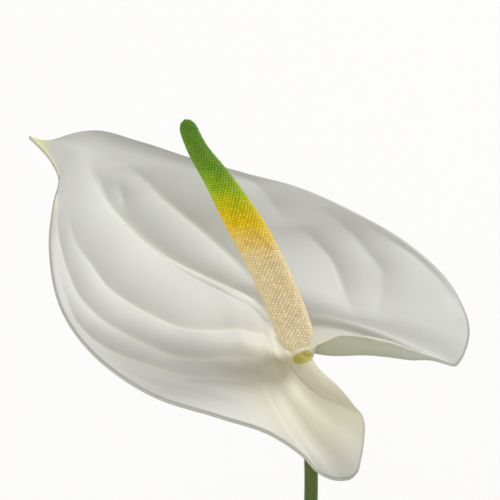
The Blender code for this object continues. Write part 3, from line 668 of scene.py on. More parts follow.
# Leaf stalk: smooth green skin with fine long streaks, so many to a metre of height, and a little
# redder brown at its foot.
STREAK_WIDTH = 0.0008
LEAF_STALK_STREAKS = 60.0
petiole_skin, tree, shader = new_finish("leaf_stalk_skin", Roughness=0.42, Specular_IOR_Level=0.45)
place = add(tree, "ShaderNodeTexCoord").outputs["Object"]
long = add(tree, "ShaderNodeMapping", {"Vector": place, "Scale": (1 / STREAK_WIDTH, 1 / STREAK_WIDTH,
                                                                  LEAF_STALK_STREAKS)})
streaks = add(tree, "ShaderNodeTexNoise", {"Vector": long.outputs["Vector"], "Scale": 1.0, "Detail": 3.0})
green = add(tree, "ShaderNodeValToRGB", {"Fac": streaks.outputs["Fac"]},
            ramp=((0.3, "#3F6522"), (0.7, "#5F8A34")))
height = add(tree, "ShaderNodeSeparateXYZ", {"Vector": place}).outputs["Z"]
foot = add(tree, "ShaderNodeMapRange", {"Value": height, "From Min": SOIL_LEVEL + 0.030,
                                        "From Max": SOIL_LEVEL + 0.004, "To Max": 0.6})
skin = add(tree, "ShaderNodeMix", {"Factor": foot.outputs["Result"], "A": green.outputs["Color"],
                                   "B": linear("#6E5A3A")}, data_type="RGBA")
tree.links.new(skin.outputs["Result"], shader.inputs["Base Color"])
ridged = add(tree, "ShaderNodeBump", {"Height": streaks.outputs["Fac"], "Strength": 0.25,
                                      "Distance": 0.0003})
tree.links.new(ridged.outputs["Normal"], shader.inputs["Normal"])


def leaf_foot(number):
    """Where a leaf's stalk enters the soil."""
    heading = math.radians(LEAVES[number][0])
    ring = OUTER_RING if number < OUTER_LEAVES else INNER_RING
    return ring * math.cos(heading), ring * math.sin(heading)


def leaf_surface(number, a, c):
    """A leaf's under face from its knee, in its own frame, drooping towards its tip, with fields
    for its side veins, the share of the way out to the edge, and the distance from its rib."""
    length, sag = LEAVES[number][3], math.radians(LEAVES[number][6])
    edge = [(along * length / MM, out * length / MM, 0, 0, 2) for along, out in LEAF_EDGE]
    other = [(along, -out, up, roll, strip) for along, out, up, roll, strip in edge]
    ribs = [(along * length / MM, 0, 0) for along in (0.0, 0.25, 0.5, 0.75, 1.0)]
    points, width = heart_blade(a, c, ribs, edge, other)
    points *= MM
    k = np.abs(c)
    out = np.abs(points[..., 1])
    phase = SIDE_VEINS * (a - VEIN_LEAN * k**1.4)
    fade = ease(a / FADE_IN) * ease((1 - a) / FADE_OUT)
    lift = LEAF_PUFF * np.abs(np.sin(np.pi * phase)) ** 0.8 * np.sin(np.pi * k**0.8) * fade
    lift += LEAF_RISE * out - LEAF_FALL * out**2 / length
    lift += LEAF_WAVE * length * k**3 * np.sin(LEAF_WAVE_TURNS * a + number) * fade
    run = length / sag
    bend = points[..., 0] / run
    along = run * np.sin(bend) + lift * np.sin(bend)
    above = lift * np.cos(bend) - run * (1 - np.cos(bend))
    fields = {"vein_phase": phase + 20, "out": k, "rib_distance": k * width}
    return np.stack((along, points[..., 1], above), axis=-1), fields


for number, (heading, reach, height, length, droop, tilt, sag) in enumerate(LEAVES):
    name = "leaf_%d" % (number + 1)
    turn = math.radians(heading)
    axes = blade_axes(turn, math.radians(-droop), math.radians(tilt))
    along, above = Vector(axes[0]), Vector(axes[2])
    knee = Vector((reach * math.cos(turn), reach * math.sin(turn), height))
    a, c = np.meshgrid(rows_along(LEAF_ROWS, 0.01, 0.99), np.linspace(-1, 1, LEAF_COLUMNS), indexing="ij")
    points, fields = leaf_surface(number, a, c)
    leaf = blade_shell("blade_and_stalk_%d" % (number + 1), np.array(knee) + points @ axes, fields,
                       LEAF_THICK, leaf_upper, leaf_under)
    rise = height - SOIL_LEVEL
    x, y = leaf_foot(number)
    seat = knee + along * KNEE_INSET
    entry = (Vector((0.0, 0.0, -1.0)) - above * KNEE_TURN).normalized()
    out = Vector((x * STALK_HIGH_SPREAD, y * STALK_HIGH_SPREAD, 0.0))
    out = out.lerp(Vector((knee.x, knee.y, 0.0)), STALK_REACH)
    way = (
        (x, y, SOIL_LEVEL - SOIL_ENTRY),
        (x * STALK_LOW_SPREAD, y * STALK_LOW_SPREAD, SOIL_LEVEL + STALK_LOW * rise),
        (out.x, out.y, SOIL_LEVEL + STALK_HIGH * rise),
        tuple(seat + entry * KNEE_LENGTH * KNEE_RUN),
        tuple(seat + above * KNEE_SINK),
    )
    shares = np.linspace(0, 1, PETIOLE_STEPS)
    route = smooth_line(way, shares)
    total = np.sum(np.linalg.norm(np.diff(route, axis=0), axis=1))
    thick = PETIOLE_RADIUS + (PETIOLE_FOOT_RADIUS - PETIOLE_RADIUS) * (1 - shares) ** 3
    swell = ease(1 - np.abs((1 - shares) * total - KNEE_LENGTH / 2) / KNEE_LENGTH)
    petiole = stalk("petiole_%d" % (number + 1), route, thick + (KNEE_RADIUS - PETIOLE_RADIUS) * swell,
                    petiole_skin)
    joined(leaf, petiole)
    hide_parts(name)
    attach(leaf, "root")

# Flower stem. One tall round stem carries the flower. It is smooth and green with fine long streaks,
# grows from the crown, bows a little on its way up, and widens where the spathe joins it.
JOIN = Vector((0.0, 0.0, 0.430))
STEM_TOP_RADIUS = 0.00185
STEM_FOOT_RADIUS = 0.0026
STEM_STEPS = 120
STEM_STREAKS = 45.0
STEM_FOOT = (-0.0010, 0.0020)
STEM_BOW = (
    (-0.0020, 0.0035, 0.210),
    (0.0004, 0.0035, 0.300),
    (0.0024, 0.0022, 0.370),
    (0.0018, 0.0014, 0.408),
    (-0.0015, 0.0022, 0.4284),
)

# Flower stem skin: a deeper olive green than the leaf stalks, with lighter and darker long streaks.
stem_skin, tree, shader = new_finish("flower_stem_skin", Roughness=0.45, Specular_IOR_Level=0.4)
place = add(tree, "ShaderNodeTexCoord").outputs["Object"]
long = add(tree, "ShaderNodeMapping", {"Vector": place, "Scale": (1 / STREAK_WIDTH, 1 / STREAK_WIDTH,
                                                                  STEM_STREAKS)})
streaks = add(tree, "ShaderNodeTexNoise", {"Vector": long.outputs["Vector"], "Scale": 1.0, "Detail": 3.0})
green = add(tree, "ShaderNodeValToRGB", {"Fac": streaks.outputs["Fac"]},
            ramp=((0.3, "#46580A"), (0.7, "#5A6C12")))
tree.links.new(green.outputs["Color"], shader.inputs["Base Color"])
ridged = add(tree, "ShaderNodeBump", {"Height": streaks.outputs["Fac"], "Strength": 0.25,
                                      "Distance": 0.0003})
tree.links.new(ridged.outputs["Normal"], shader.inputs["Normal"])

x, y = STEM_FOOT
way = ((x, y, SOIL_LEVEL - SOIL_ENTRY), (x, y, SOIL_LEVEL + 0.010), *STEM_BOW)
route = smooth_line(way, np.linspace(0, 1, STEM_STEPS))
radii = np.linspace(STEM_FOOT_RADIUS, STEM_TOP_RADIUS, STEM_STEPS)
stem = stalk("tall_flower_stem", route, radii, stem_skin)
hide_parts("flower_stem")
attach(stem, "root")

# Spathe. The white heart-shaped leaf behind the spadix, waxy and a little translucent, grown in one
# piece. Its veins are sunk in deep creases, the blade puffs up between them, its right lobe rolls over
# towards the stem, its front lobe hangs like a tongue, and it ends in a narrow greenish tip.
TIP_HEADING = math.radians(142.1)
TIP_RISE = math.radians(25.0)
SIDE_RISE = math.radians(7.8)
SPATHE_THICK = 0.0009
SPATHE_ROWS = 200
SPATHE_COLUMNS = 161
SPATHE_CLOUD = 0.018
SPATHE_GRAIN = 0.0012
# The edge in millimetres, from the join to the tip: along, across and above the flat of the blade,
# then the angle in degrees by which a strip of the edge rolls up, and its width
RIGHT_EDGE = (
    (-2.2, 1.3, 0, 0, 2),
    (-0.9, 5.1, 1.2, 15, 4),
    (-1.7, 7.2, 3, 65, 6.5),
    (-3, 9.4, 5.4, 140, 11),
    (-6.7, 14.1, 6.5, 200, 13),
    (-11.4, 20.4, 5.6, 195, 11),
    (-17.2, 26.9, 3.2, 165, 7),
    (-23.3, 33.6, 0.2, 55, 4),
    (-26.9, 38.2, -1.6, 15, 4),
    (-26.2, 41.4, -1.8, 8, 6),
    (-23, 48.6, -2.2, 0, 8),
    (-19.5, 54, -2.5, 0, 8),
    (-12, 61, -3, 0, 8),
    (1.8, 67.7, -3, 0, 8),
    (18.8, 67.5, -2, 0, 8),
    (34.6, 61.2, 0, 0, 8),
    (49, 53.3, 1.5, 0, 8),
    (64.2, 42, 1.8, 8, 8),
    (77, 33, 1.8, 14, 9),
    (90.4, 25, 1.6, 16, 9),
    (101.3, 16.7, 1.2, 10, 6),
    (103.6, 11.5, 0.6, 0, 5),
    (104.3, 7.2, 0.3, 0, 3),
    (105, 3, 0, 0, 2),
    (106.5, -0.2, 0.1, 0, 2),
    (110, -2, 0.3, 0, 2),
)
LEFT_EDGE = (
    (-2.2, 1.3, 0, 0, 2),
    (-5.3, -0.5, 0.4, -5, 3),
    (-9.4, -1.6, 0.8, -5, 4),
    (-13.6, -2, 1.2, -6, 6),
    (-20.6, -2.9, 0.8, -8, 8),
    (-24.9, -3.2, -0.2, -8, 9),
    (-27.9, -5.2, -0.9, -10, 10),
    (-30.8, -8.6, -1.8, -12, 10),
    (-35.2, -14.9, -2.9, -15, 10),
    (-37.1, -18, -3.5, -15, 10),
    (-37.4, -20.9, -3.9, -12, 10),
    (-36.2, -23.3, -4.1, -12, 10),
    (-33.8, -26, -3.8, -10, 10),
    (-30.3, -27.4, -3.4, -8, 9),
    (-25.7, -27.5, -2.4, -5, 9),
    (-16.2, -29.8, -1.2, 0, 8),
    (-4, -40.7, 2, 5, 8),
    (10.1, -50.6, 3, 8, 8),
    (26.1, -53.3, 2.5, 12, 7),
    (45.5, -49.4, 2, 15, 6),
    (69.6, -32.9, 1.5, 15, 6),
    (84.8, -16.3, 1.2, 8, 5),
    (91.5, -7.8, 0.8, 3, 3),
    (100.3, -3.6, 0.5, 0, 2),
    (110, -2, 0.3, 0, 2),
)
MIDRIB = (
    (-2.2, 1.3, 0),
    (1, 1, -1.4),
    (5, 1.4, -3.2),
    (12, 3.2, -3.4),
    (21, 4.3, -1.2),
    (32, 1.5, 0.4),
    (43, -1.7, 0.3),
    (54, -3.2, 0.2),
    (66, -3, 0.6),
    (77, -0.8, 1.0),
    (87, 3.2, 1.3),
    (94.5, 5, 1.1),
    (101.6, 2.9, 0.6),
    (105.5, 0.3, 0.2),
    (110, -2, 0.3),
)
# The camera, as estimated from the photograph: its place, how far it looks down, its lens and film in
# millimetres, and the side of the square picture in pixels
CAMERA_PLACE = Vector((-0.0147, -0.6566, 0.6746))
LOOK_DOWN = math.radians(18)
LENS = 181.44
FILM_WIDTH = 36
PHOTO_SIDE = 500
# Creases, where the veins are sunk: how round each is at its bottom and how far it spreads to its
# right and to its left, in millimetres, and then its course from the tip's side down to the join's,
# as the column and row of the photograph at which it shows, and its depth there. It has
# faded out at its first and last point.
CREASES_SEEN = {
    "midrib": (1.6, 8, 10, (
        (87, 145, 0), (88, 155, 0.2), (91, 170, 0.6), (100, 190, 1.2), (122, 218, 1.6), (150, 244, 2),
        (174, 261, 2.4), (200, 274, 2.6), (224, 285, 2.7), (250, 297, 2.6), (262, 306, 2.3),
        (275, 323, 1.6), (291, 341, 0))),
    "branch of the midrib": (0.8, 2.5, 2.5, (
        (117, 179, 0), (121, 192, 0.5), (123, 198, 0.6), (125, 206, 0.3), (128, 214, 0))),
    "first on the right": (0.9, 5, 8, (
        (126, 165, 0), (140, 175, 0.6), (158, 194, 1.1), (178, 211, 1.3), (200, 229, 1.4),
        (220, 247, 1.3), (237, 263, 1.1), (250, 276, 0.8), (269, 298, 0))),
    "first on the left": (0.5, 9, 6, (
        (66, 210, 0), (74, 238, 0.5), (90, 263, 1), (105, 284, 1.3), (125, 300, 1.5), (150, 314, 1.5),
        (180, 327, 1.5), (200, 330, 1.5), (220, 330, 1.5), (240, 329, 1.3), (260, 334, 1),
        (282, 344, 0))),
    "second on the left": (0.5, 6, 4.5, (
        (56, 205, 0), (58, 235, 0.6), (69, 275, 0.8), (83, 301, 0.9), (100, 318, 1), (122, 332, 1),
        (148, 345, 1), (180, 357, 1.2), (200, 359, 1.2), (220, 357, 1.2), (235, 357, 1.1),
        (250, 357, 0.8), (268, 349, 0))),
    "third on the left": (0.5, 4.5, 3.5, (
        (58, 278, 0), (66, 300, 0.4), (74, 320, 0.8), (92, 339, 1.1), (122, 356, 1.1), (160, 369, 1.1),
        (190, 377, 1.1), (220, 379, 1.1), (240, 381, 0.9), (264, 381, 0))),
    "along the front edge": (0.5, 3, 2.5, (
        (115, 367, 0), (135, 378, 0.4), (150, 384, 0.8), (180, 391, 0.9), (210, 397, 0.7),
        (245, 406, 0))),
    "inner one of the right lobe": (0.5, 5, 6, (
        (299, 224, 0), (313, 238, 0.5), (326, 254, 1), (334, 268, 1.2), (337, 276, 1.2),
        (343, 293, 0.9), (352, 316, 0))),
    "outer one of the right lobe": (0.5, 5, 6, (
        (321, 206, 0), (336, 219, 0.3), (354, 236, 0.6), (367, 252, 0.7), (379, 268, 0.8),
        (381, 286, 0.7), (380, 296, 0.6), (374, 319, 0))),
    "right shoulder": (0.6, 4, 5, (
        (231, 172, 0), (250, 180, 0.3), (262, 190, 0.4), (271, 202, 0.4), (288, 225, 0))),
    "along the right edge": (0.6, 2.5, 4, (
        (360, 221, 0), (385, 236, 0.2), (412, 254, 0.5), (434, 274, 0.6), (449, 293, 0.4),
        (462, 316, 0))),
}
# The net of places among which a pixel is first looked for, and the steps that then come closer
NET_START = 0.04
NET_END = 0.96
NET_ROWS = 93
NET_COLUMNS = 81
CLOSER_STEPS = 6
SMALL_SHARE = 0.004
LARGEST_STEP = 0.03
CREASE_ROUNDS = 3
# Middle of the creamy patch, along and across in millimetres
CREAM_SPOT = (-12, -6)


def sunken(a, c, width, creases):
    """How deep the creases sink the blade here, in millimetres, and the share of the way to the
    nearest one."""
    depth = np.zeros_like(a)
    nearest = np.ones_like(a)
    for bottom, spread_right, spread_left, course in creases:
        along, out, sunk = np.array(course).T
        off = (c - smooth_curve(along, out, a)) * width
        spread = np.where(off > 0, spread_right, spread_left)
        reach = (np.sqrt(off**2 + bottom**2) - bottom) / spread
        here = np.maximum(smooth_curve(along, sunk, a), 0.0)
        here = np.where((a < along[0]) | (a > along[-1]), 0.0, here)
        depth += here * np.exp(-reach)
        nearest = np.minimum(nearest, 1 - np.exp(-reach) * np.minimum(here, 1.0))
    return depth, nearest


def shown_at(a, c, depth):
    """The column and row of the photograph at which a place on the spathe's face shows, when the
    blade is sunk by this depth there."""
    points, _ = heart_blade(a, c, MIDRIB, RIGHT_EDGE, LEFT_EDGE)
    points[..., 2] += SPATHE_THICK / MM - depth
    off = np.array(JOIN - CAMERA_PLACE) + points * MM @ blade_axes(TIP_HEADING, TIP_RISE, SIDE_RISE)
    ahead = off @ (0.0, math.cos(LOOK_DOWN), -math.sin(LOOK_DOWN))
    up = off @ (0.0, math.sin(LOOK_DOWN), math.cos(LOOK_DOWN))
    scale = LENS / FILM_WIDTH * PHOTO_SIDE / ahead
    return (PHOTO_SIDE - 1) / 2 + np.stack((scale * off[..., 0], -scale * up), axis=-1)


def place_on_blade(pixels, depth):
    """The shares of the way along and out at which the blade shows at these pixels: the nearest of
    a net of places that face the camera, and then closer step by step."""
    rows = np.linspace(NET_START, NET_END, NET_ROWS)
    a, c = np.meshgrid(rows, np.linspace(-1, 1, NET_COLUMNS), indexing="ij")
    seen = shown_at(a, c, 0.0)
    along, out = np.gradient(seen, axis=(0, 1))
    gap = np.linalg.norm(seen[..., None, :] - pixels, axis=-1)
    gap[along[..., 0] * out[..., 1] <= along[..., 1] * out[..., 0]] = np.inf
    nearest = gap.reshape(-1, len(pixels)).argmin(axis=0)
    a, c = a.flat[nearest], c.flat[nearest]
    for _ in range(CLOSER_STEPS):
        along = shown_at(a + SMALL_SHARE, c, depth) - shown_at(a - SMALL_SHARE, c, depth)
        out = shown_at(a, c + SMALL_SHARE, depth) - shown_at(a, c - SMALL_SHARE, depth)
        slopes = np.stack((along, out), axis=-1) / (2 * SMALL_SHARE)
        step = np.linalg.solve(slopes, (pixels - shown_at(a, c, depth))[..., None])
        step = np.clip(step, -LARGEST_STEP, LARGEST_STEP)
        a, c = a + step[:, 0, 0], c + step[:, 1, 0]
    return a, c


def creases_on_blade():
    """The creases with each course as shares of the way along and out and a depth. Later rounds
    know how far the other creases sink the blade under each point."""
    courses = [np.array(course, float) for *_, course in CREASES_SEEN.values()]
    sunk = [course[:, 2] for course in courses]
    for _ in range(CREASE_ROUNDS):
        places = [place_on_blade(course[:, :2], depth) for course, depth in zip(courses, sunk)]
        creases = []
        for (bottom, right, left, _), (a, c), course in zip(CREASES_SEEN.values(), places, courses):
            creases.append((bottom, right, left, sorted(zip(a, c, course[:, 2]))))
        sunk = []
        for a, c in places:
            _, width = heart_blade(a, c, MIDRIB, RIGHT_EDGE, LEFT_EDGE)
            sunk.append(sunken(a, c, width, creases)[0])
    return creases


def spathe_surface(a, c):
    """The spathe's under face in its own frame, with fields for what its colour follows."""
    points, width = heart_blade(a, c, MIDRIB, RIGHT_EDGE, LEFT_EDGE)
    depth, nearest = sunken(a, c, width, creases_on_blade())
    points[..., 2] -= depth
    fields = {
        "along": a,
        "out": c,
        "crease": nearest,
        "rim_distance": (1 - np.abs(c)) * width,
        "join_distance": np.linalg.norm(points, axis=-1),
        "cream_distance": np.hypot(points[..., 0] - CREAM_SPOT[0], points[..., 1] - CREAM_SPOT[1]),
    }
    return points * MM, fields


# White spathe: the skin is waxy and satin smooth, and light enters it a little. It is a cool white,
# greyer on the right lobe as painted shade, creamy on the front lobe, with a small yellow-green spot
# under the spadix, a thin grey rim, and yellow-green on the tip and along the left edge next to it.
white_spathe, tree, shader = new_finish("waxy_white_spathe", Specular_IOR_Level=0.35, Subsurface_Weight=0.25,
                                        Subsurface_Radius=(1.0, 1.0, 0.7), Subsurface_Scale=0.0015)
place = add(tree, "ShaderNodeTexCoord").outputs["Object"]
along = add(tree, "ShaderNodeAttribute", attribute_name="along").outputs["Fac"]
out = add(tree, "ShaderNodeAttribute", attribute_name="out").outputs["Fac"]
near = add(tree, "ShaderNodeAttribute", attribute_name="join_distance").outputs["Fac"]
cream = add(tree, "ShaderNodeAttribute", attribute_name="cream_distance").outputs["Fac"]
rim = add(tree, "ShaderNodeAttribute", attribute_name="rim_distance").outputs["Fac"]
crease = add(tree, "ShaderNodeAttribute", attribute_name="crease").outputs["Fac"]
cloud = add(tree, "ShaderNodeTexNoise", {"Vector": place, "Scale": 1 / SPATHE_CLOUD, "Detail": 4.0})
white = add(tree, "ShaderNodeValToRGB", {"Fac": cloud.outputs["Fac"]},
            ramp=((0.3, "#C4C5BF"), (0.7, "#CCCCC8")))
# Painted shade: the right lobe is mixed towards grey.
right_lobe_shade = add(tree, "ShaderNodeMapRange", {"Value": out, "From Min": 0.1, "From Max": 0.6, "To Max": 0.8},
          interpolation_type="SMOOTHSTEP")
greyer = add(tree, "ShaderNodeMix", {"Factor": right_lobe_shade.outputs["Result"], "A": white.outputs["Color"],
                                     "B": linear("#B6B7B0")}, data_type="RGBA")
creamy = add(tree, "ShaderNodeMapRange", {"Value": cream, "From Min": 36.0, "From Max": 8.0, "To Max": 0.8},
             interpolation_type="SMOOTHSTEP")
with_cream = add(tree, "ShaderNodeMix", {"Factor": creamy.outputs["Result"], "A": greyer.outputs["Result"],
                                         "B": linear("#E3DDBF")}, data_type="RGBA")
collar = add(tree, "ShaderNodeMapRange", {"Value": near, "From Min": 3.4, "From Max": 2.6, "To Max": 0.8},
             interpolation_type="SMOOTHSTEP")
with_collar = add(tree, "ShaderNodeMix", {"Factor": collar.outputs["Result"],
                                          "A": with_cream.outputs["Result"],
                                          "B": linear("#B8B22A")}, data_type="RGBA")
fold = add(tree, "ShaderNodeMapRange", {"Value": crease, "From Min": 0.22, "From Max": 0.0, "To Max": 0.35})
with_fold = add(tree, "ShaderNodeMix", {"Factor": fold.outputs["Result"], "A": with_collar.outputs["Result"],
                                        "B": linear("#DDDFCB")}, data_type="RGBA")
tip = add(tree, "ShaderNodeMapRange", {"Value": along, "From Min": 0.93, "From Max": 0.985},
          interpolation_type="SMOOTHSTEP")
with_tip = add(tree, "ShaderNodeMix", {"Factor": tip.outputs["Result"], "A": with_fold.outputs["Result"],
                                       "B": linear("#C9CF8A")}, data_type="RGBA")
thin = add(tree, "ShaderNodeMapRange", {"Value": rim, "From Min": 1.0, "From Max": 0.4, "To Max": 0.4})
with_rim = add(tree, "ShaderNodeMix", {"Factor": thin.outputs["Result"], "A": with_tip.outputs["Result"],
                                       "B": linear("#9FA296")}, data_type="RGBA")
late = add(tree, "ShaderNodeMapRange", {"Value": along, "From Min": 0.80, "From Max": 0.86})
left = add(tree, "ShaderNodeMath", {0: out, 1: 0.0}, operation="LESS_THAN")
narrow = add(tree, "ShaderNodeMapRange", {"Value": rim, "From Min": 1.5, "From Max": 0.9})
margin = add(tree, "ShaderNodeMath", {0: late.outputs["Result"], 1: left.outputs["Value"]},
             operation="MULTIPLY")
margin = add(tree, "ShaderNodeMath", {0: margin.outputs["Value"], 1: narrow.outputs["Result"]},
             operation="MULTIPLY")
with_margin = add(tree, "ShaderNodeMix", {"Factor": margin.outputs["Value"], "A": with_rim.outputs["Result"],
                                          "B": linear("#D6DA92")}, data_type="RGBA")
tree.links.new(with_margin.outputs["Result"], shader.inputs["Base Color"])
satin = add(tree, "ShaderNodeMapRange", {"Value": cloud.outputs["Fac"], "To Min": 0.44, "To Max": 0.56})
tree.links.new(satin.outputs["Result"], shader.inputs["Roughness"])
skin = add(tree, "ShaderNodeTexNoise", {"Vector": place, "Scale": 1 / SPATHE_GRAIN, "Detail": 3.0})
pebbled = add(tree, "ShaderNodeBump", {"Height": skin.outputs["Fac"], "Strength": 0.10, "Distance": 0.0002})
tree.links.new(pebbled.outputs["Normal"], shader.inputs["Normal"])

# Back of the spathe: the same white, duller and greener, with the veins standing out.
spathe_back, tree, shader = new_finish("white_spathe_back", Roughness=0.55, Subsurface_Weight=0.25,
                                       Subsurface_Radius=(1.0, 1.0, 0.7), Subsurface_Scale=0.0015)
near = add(tree, "ShaderNodeAttribute", attribute_name="join_distance").outputs["Fac"]
crease = add(tree, "ShaderNodeAttribute", attribute_name="crease").outputs["Fac"]
green = add(tree, "ShaderNodeMapRange", {"Value": near, "From Min": 45.0, "From Max": 4.0},
            interpolation_type="SMOOTHSTEP")
back = add(tree, "ShaderNodeMix", {"Factor": green.outputs["Result"], "A": linear("#C8C9BE"),
                                   "B": linear("#BFC0A6")}, data_type="RGBA")
fold = add(tree, "ShaderNodeMapRange", {"Value": crease, "From Min": 0.25, "From Max": 0.0, "To Max": 0.5})
veined = add(tree, "ShaderNodeMix", {"Factor": fold.outputs["Result"], "A": back.outputs["Result"],
                                     "B": linear("#C2C5AC")}, data_type="RGBA")
tree.links.new(veined.outputs["Result"], shader.inputs["Base Color"])

a, c = np.meshgrid(rows_along(SPATHE_ROWS, 0.004, 0.995), np.linspace(-1, 1, SPATHE_COLUMNS), indexing="ij")
points, fields = spathe_surface(a, c)
axes = blade_axes(TIP_HEADING, TIP_RISE, SIDE_RISE)
spathe = blade_shell("white_spathe", np.array(JOIN) + points @ axes, fields, SPATHE_THICK,
                     white_spathe, spathe_back)
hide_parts("spathe")
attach(spathe, "root")

# Spadix. A finger of many hundred tiny florets packed in spirals round a core that stands on the
# spathe's base. They open from the bottom up: cream below, then a yellow band, and green to the top.
SPADIX_LINE = (
    (-1.0, 2.6),
    (-3.5, 10.3),
    (-7.6, 20.3),
    (-12.5, 30.3),
    (-18.2, 40.3),
    (-24.3, 50.3),
    (-29.2, 57.6),
    (-32.9, 65.9),
)
SPADIX_LEAN = math.radians(18.0)
SPADIX_FORWARD = 0.0010
SPADIX_RADIUS = 0.0050
SPADIX_TIP_RADIUS = 0.0025
SPADIX_RINGS = 90
SPADIX_ROOT_SHARE = 0.08
SPADIX_TAPER_FROM = 0.45
SPADIX_END_SHARE = 0.05
FLORET_COUNT = 2600
FLORET_SIZE = 0.00116
FLORET_SINK = 0.00008
GOLDEN_ANGLE = math.radians(137.508)
SPADIX_SEED = 5
KNOB_SINK = 0.25
CORE_INSET = 0.22
BLUNT_END = 0.10
TONE_PATCH = 0.004
TONE_WAVER = 0.006
RIPE_HEIGHT = 0.070

# Floret skin: each knob is dull, with painted shade that darkens the seams round it below its crown. Its
# colour follows the height up the spadix, and a few knobs are lighter or darker than the rest.
SPADIX_SLOPE = Vector((0.0, math.sin(SPADIX_LEAN), math.cos(SPADIX_LEAN)))
floret_skin, tree, shader = new_finish("ripening_florets", Roughness=0.55, Specular_IOR_Level=0.35,
                                       Subsurface_Weight=0.1, Subsurface_Radius=(1.0, 0.85, 0.6),
                                       Subsurface_Scale=0.0008)
place = add(tree, "ShaderNodeTexCoord").outputs["Object"]
from_join = add(tree, "ShaderNodeVectorMath", {0: place, 1: JOIN}, operation="SUBTRACT")
climb = add(tree, "ShaderNodeVectorMath", {0: from_join.outputs["Vector"], 1: SPADIX_SLOPE},
            operation="DOT_PRODUCT")
waver = add(tree, "ShaderNodeTexNoise", {"Vector": place, "Scale": 1 / TONE_PATCH, "Detail": 2.0})
wavered = add(tree, "ShaderNodeMath", {0: waver.outputs["Fac"], 1: TONE_WAVER, 2: climb.outputs["Value"]},
              operation="MULTIPLY_ADD")
ripeness = add(tree, "ShaderNodeMapRange", {"Value": wavered.outputs["Value"], "From Min": 0.0,
                                            "From Max": RIPE_HEIGHT})
ripe = add(tree, "ShaderNodeValToRGB", {"Fac": ripeness.outputs["Result"]},
           ramp=((0.0, "#F8E6B8"), (0.10, "#FBEBC8"), (0.44, "#FAE4B0"), (0.515, "#F8D868"),
                 (0.57, "#F6D41A"), (0.625, "#E2D006"), (0.70, "#AECA10"), (0.79, "#7CA824"),
                 (1.0, "#5C8C1E")))
crown = add(tree, "ShaderNodeAttribute", attribute_name="crown").outputs["Fac"]
tone = add(tree, "ShaderNodeAttribute", attribute_name="tone").outputs["Fac"]
light = add(tree, "ShaderNodeMath", {0: tone, 1: 0.16, 2: 0.92}, operation="MULTIPLY_ADD")
# Painted shade: the seams between the knobs, below their crowns, are darkened.
painted_seam_shade = add(tree, "ShaderNodeMapRange", {"Value": crown, "From Min": 0.1, "From Max": 0.75, "To Min": 0.9})
value = add(tree, "ShaderNodeMath", {0: light.outputs["Value"], 1: painted_seam_shade.outputs["Result"]},
            operation="MULTIPLY")
floret_colour = add(tree, "ShaderNodeHueSaturation", {"Color": ripe.outputs["Color"],
                                                      "Value": value.outputs["Value"]})
tree.links.new(floret_colour.outputs["Color"], shader.inputs["Base Color"])


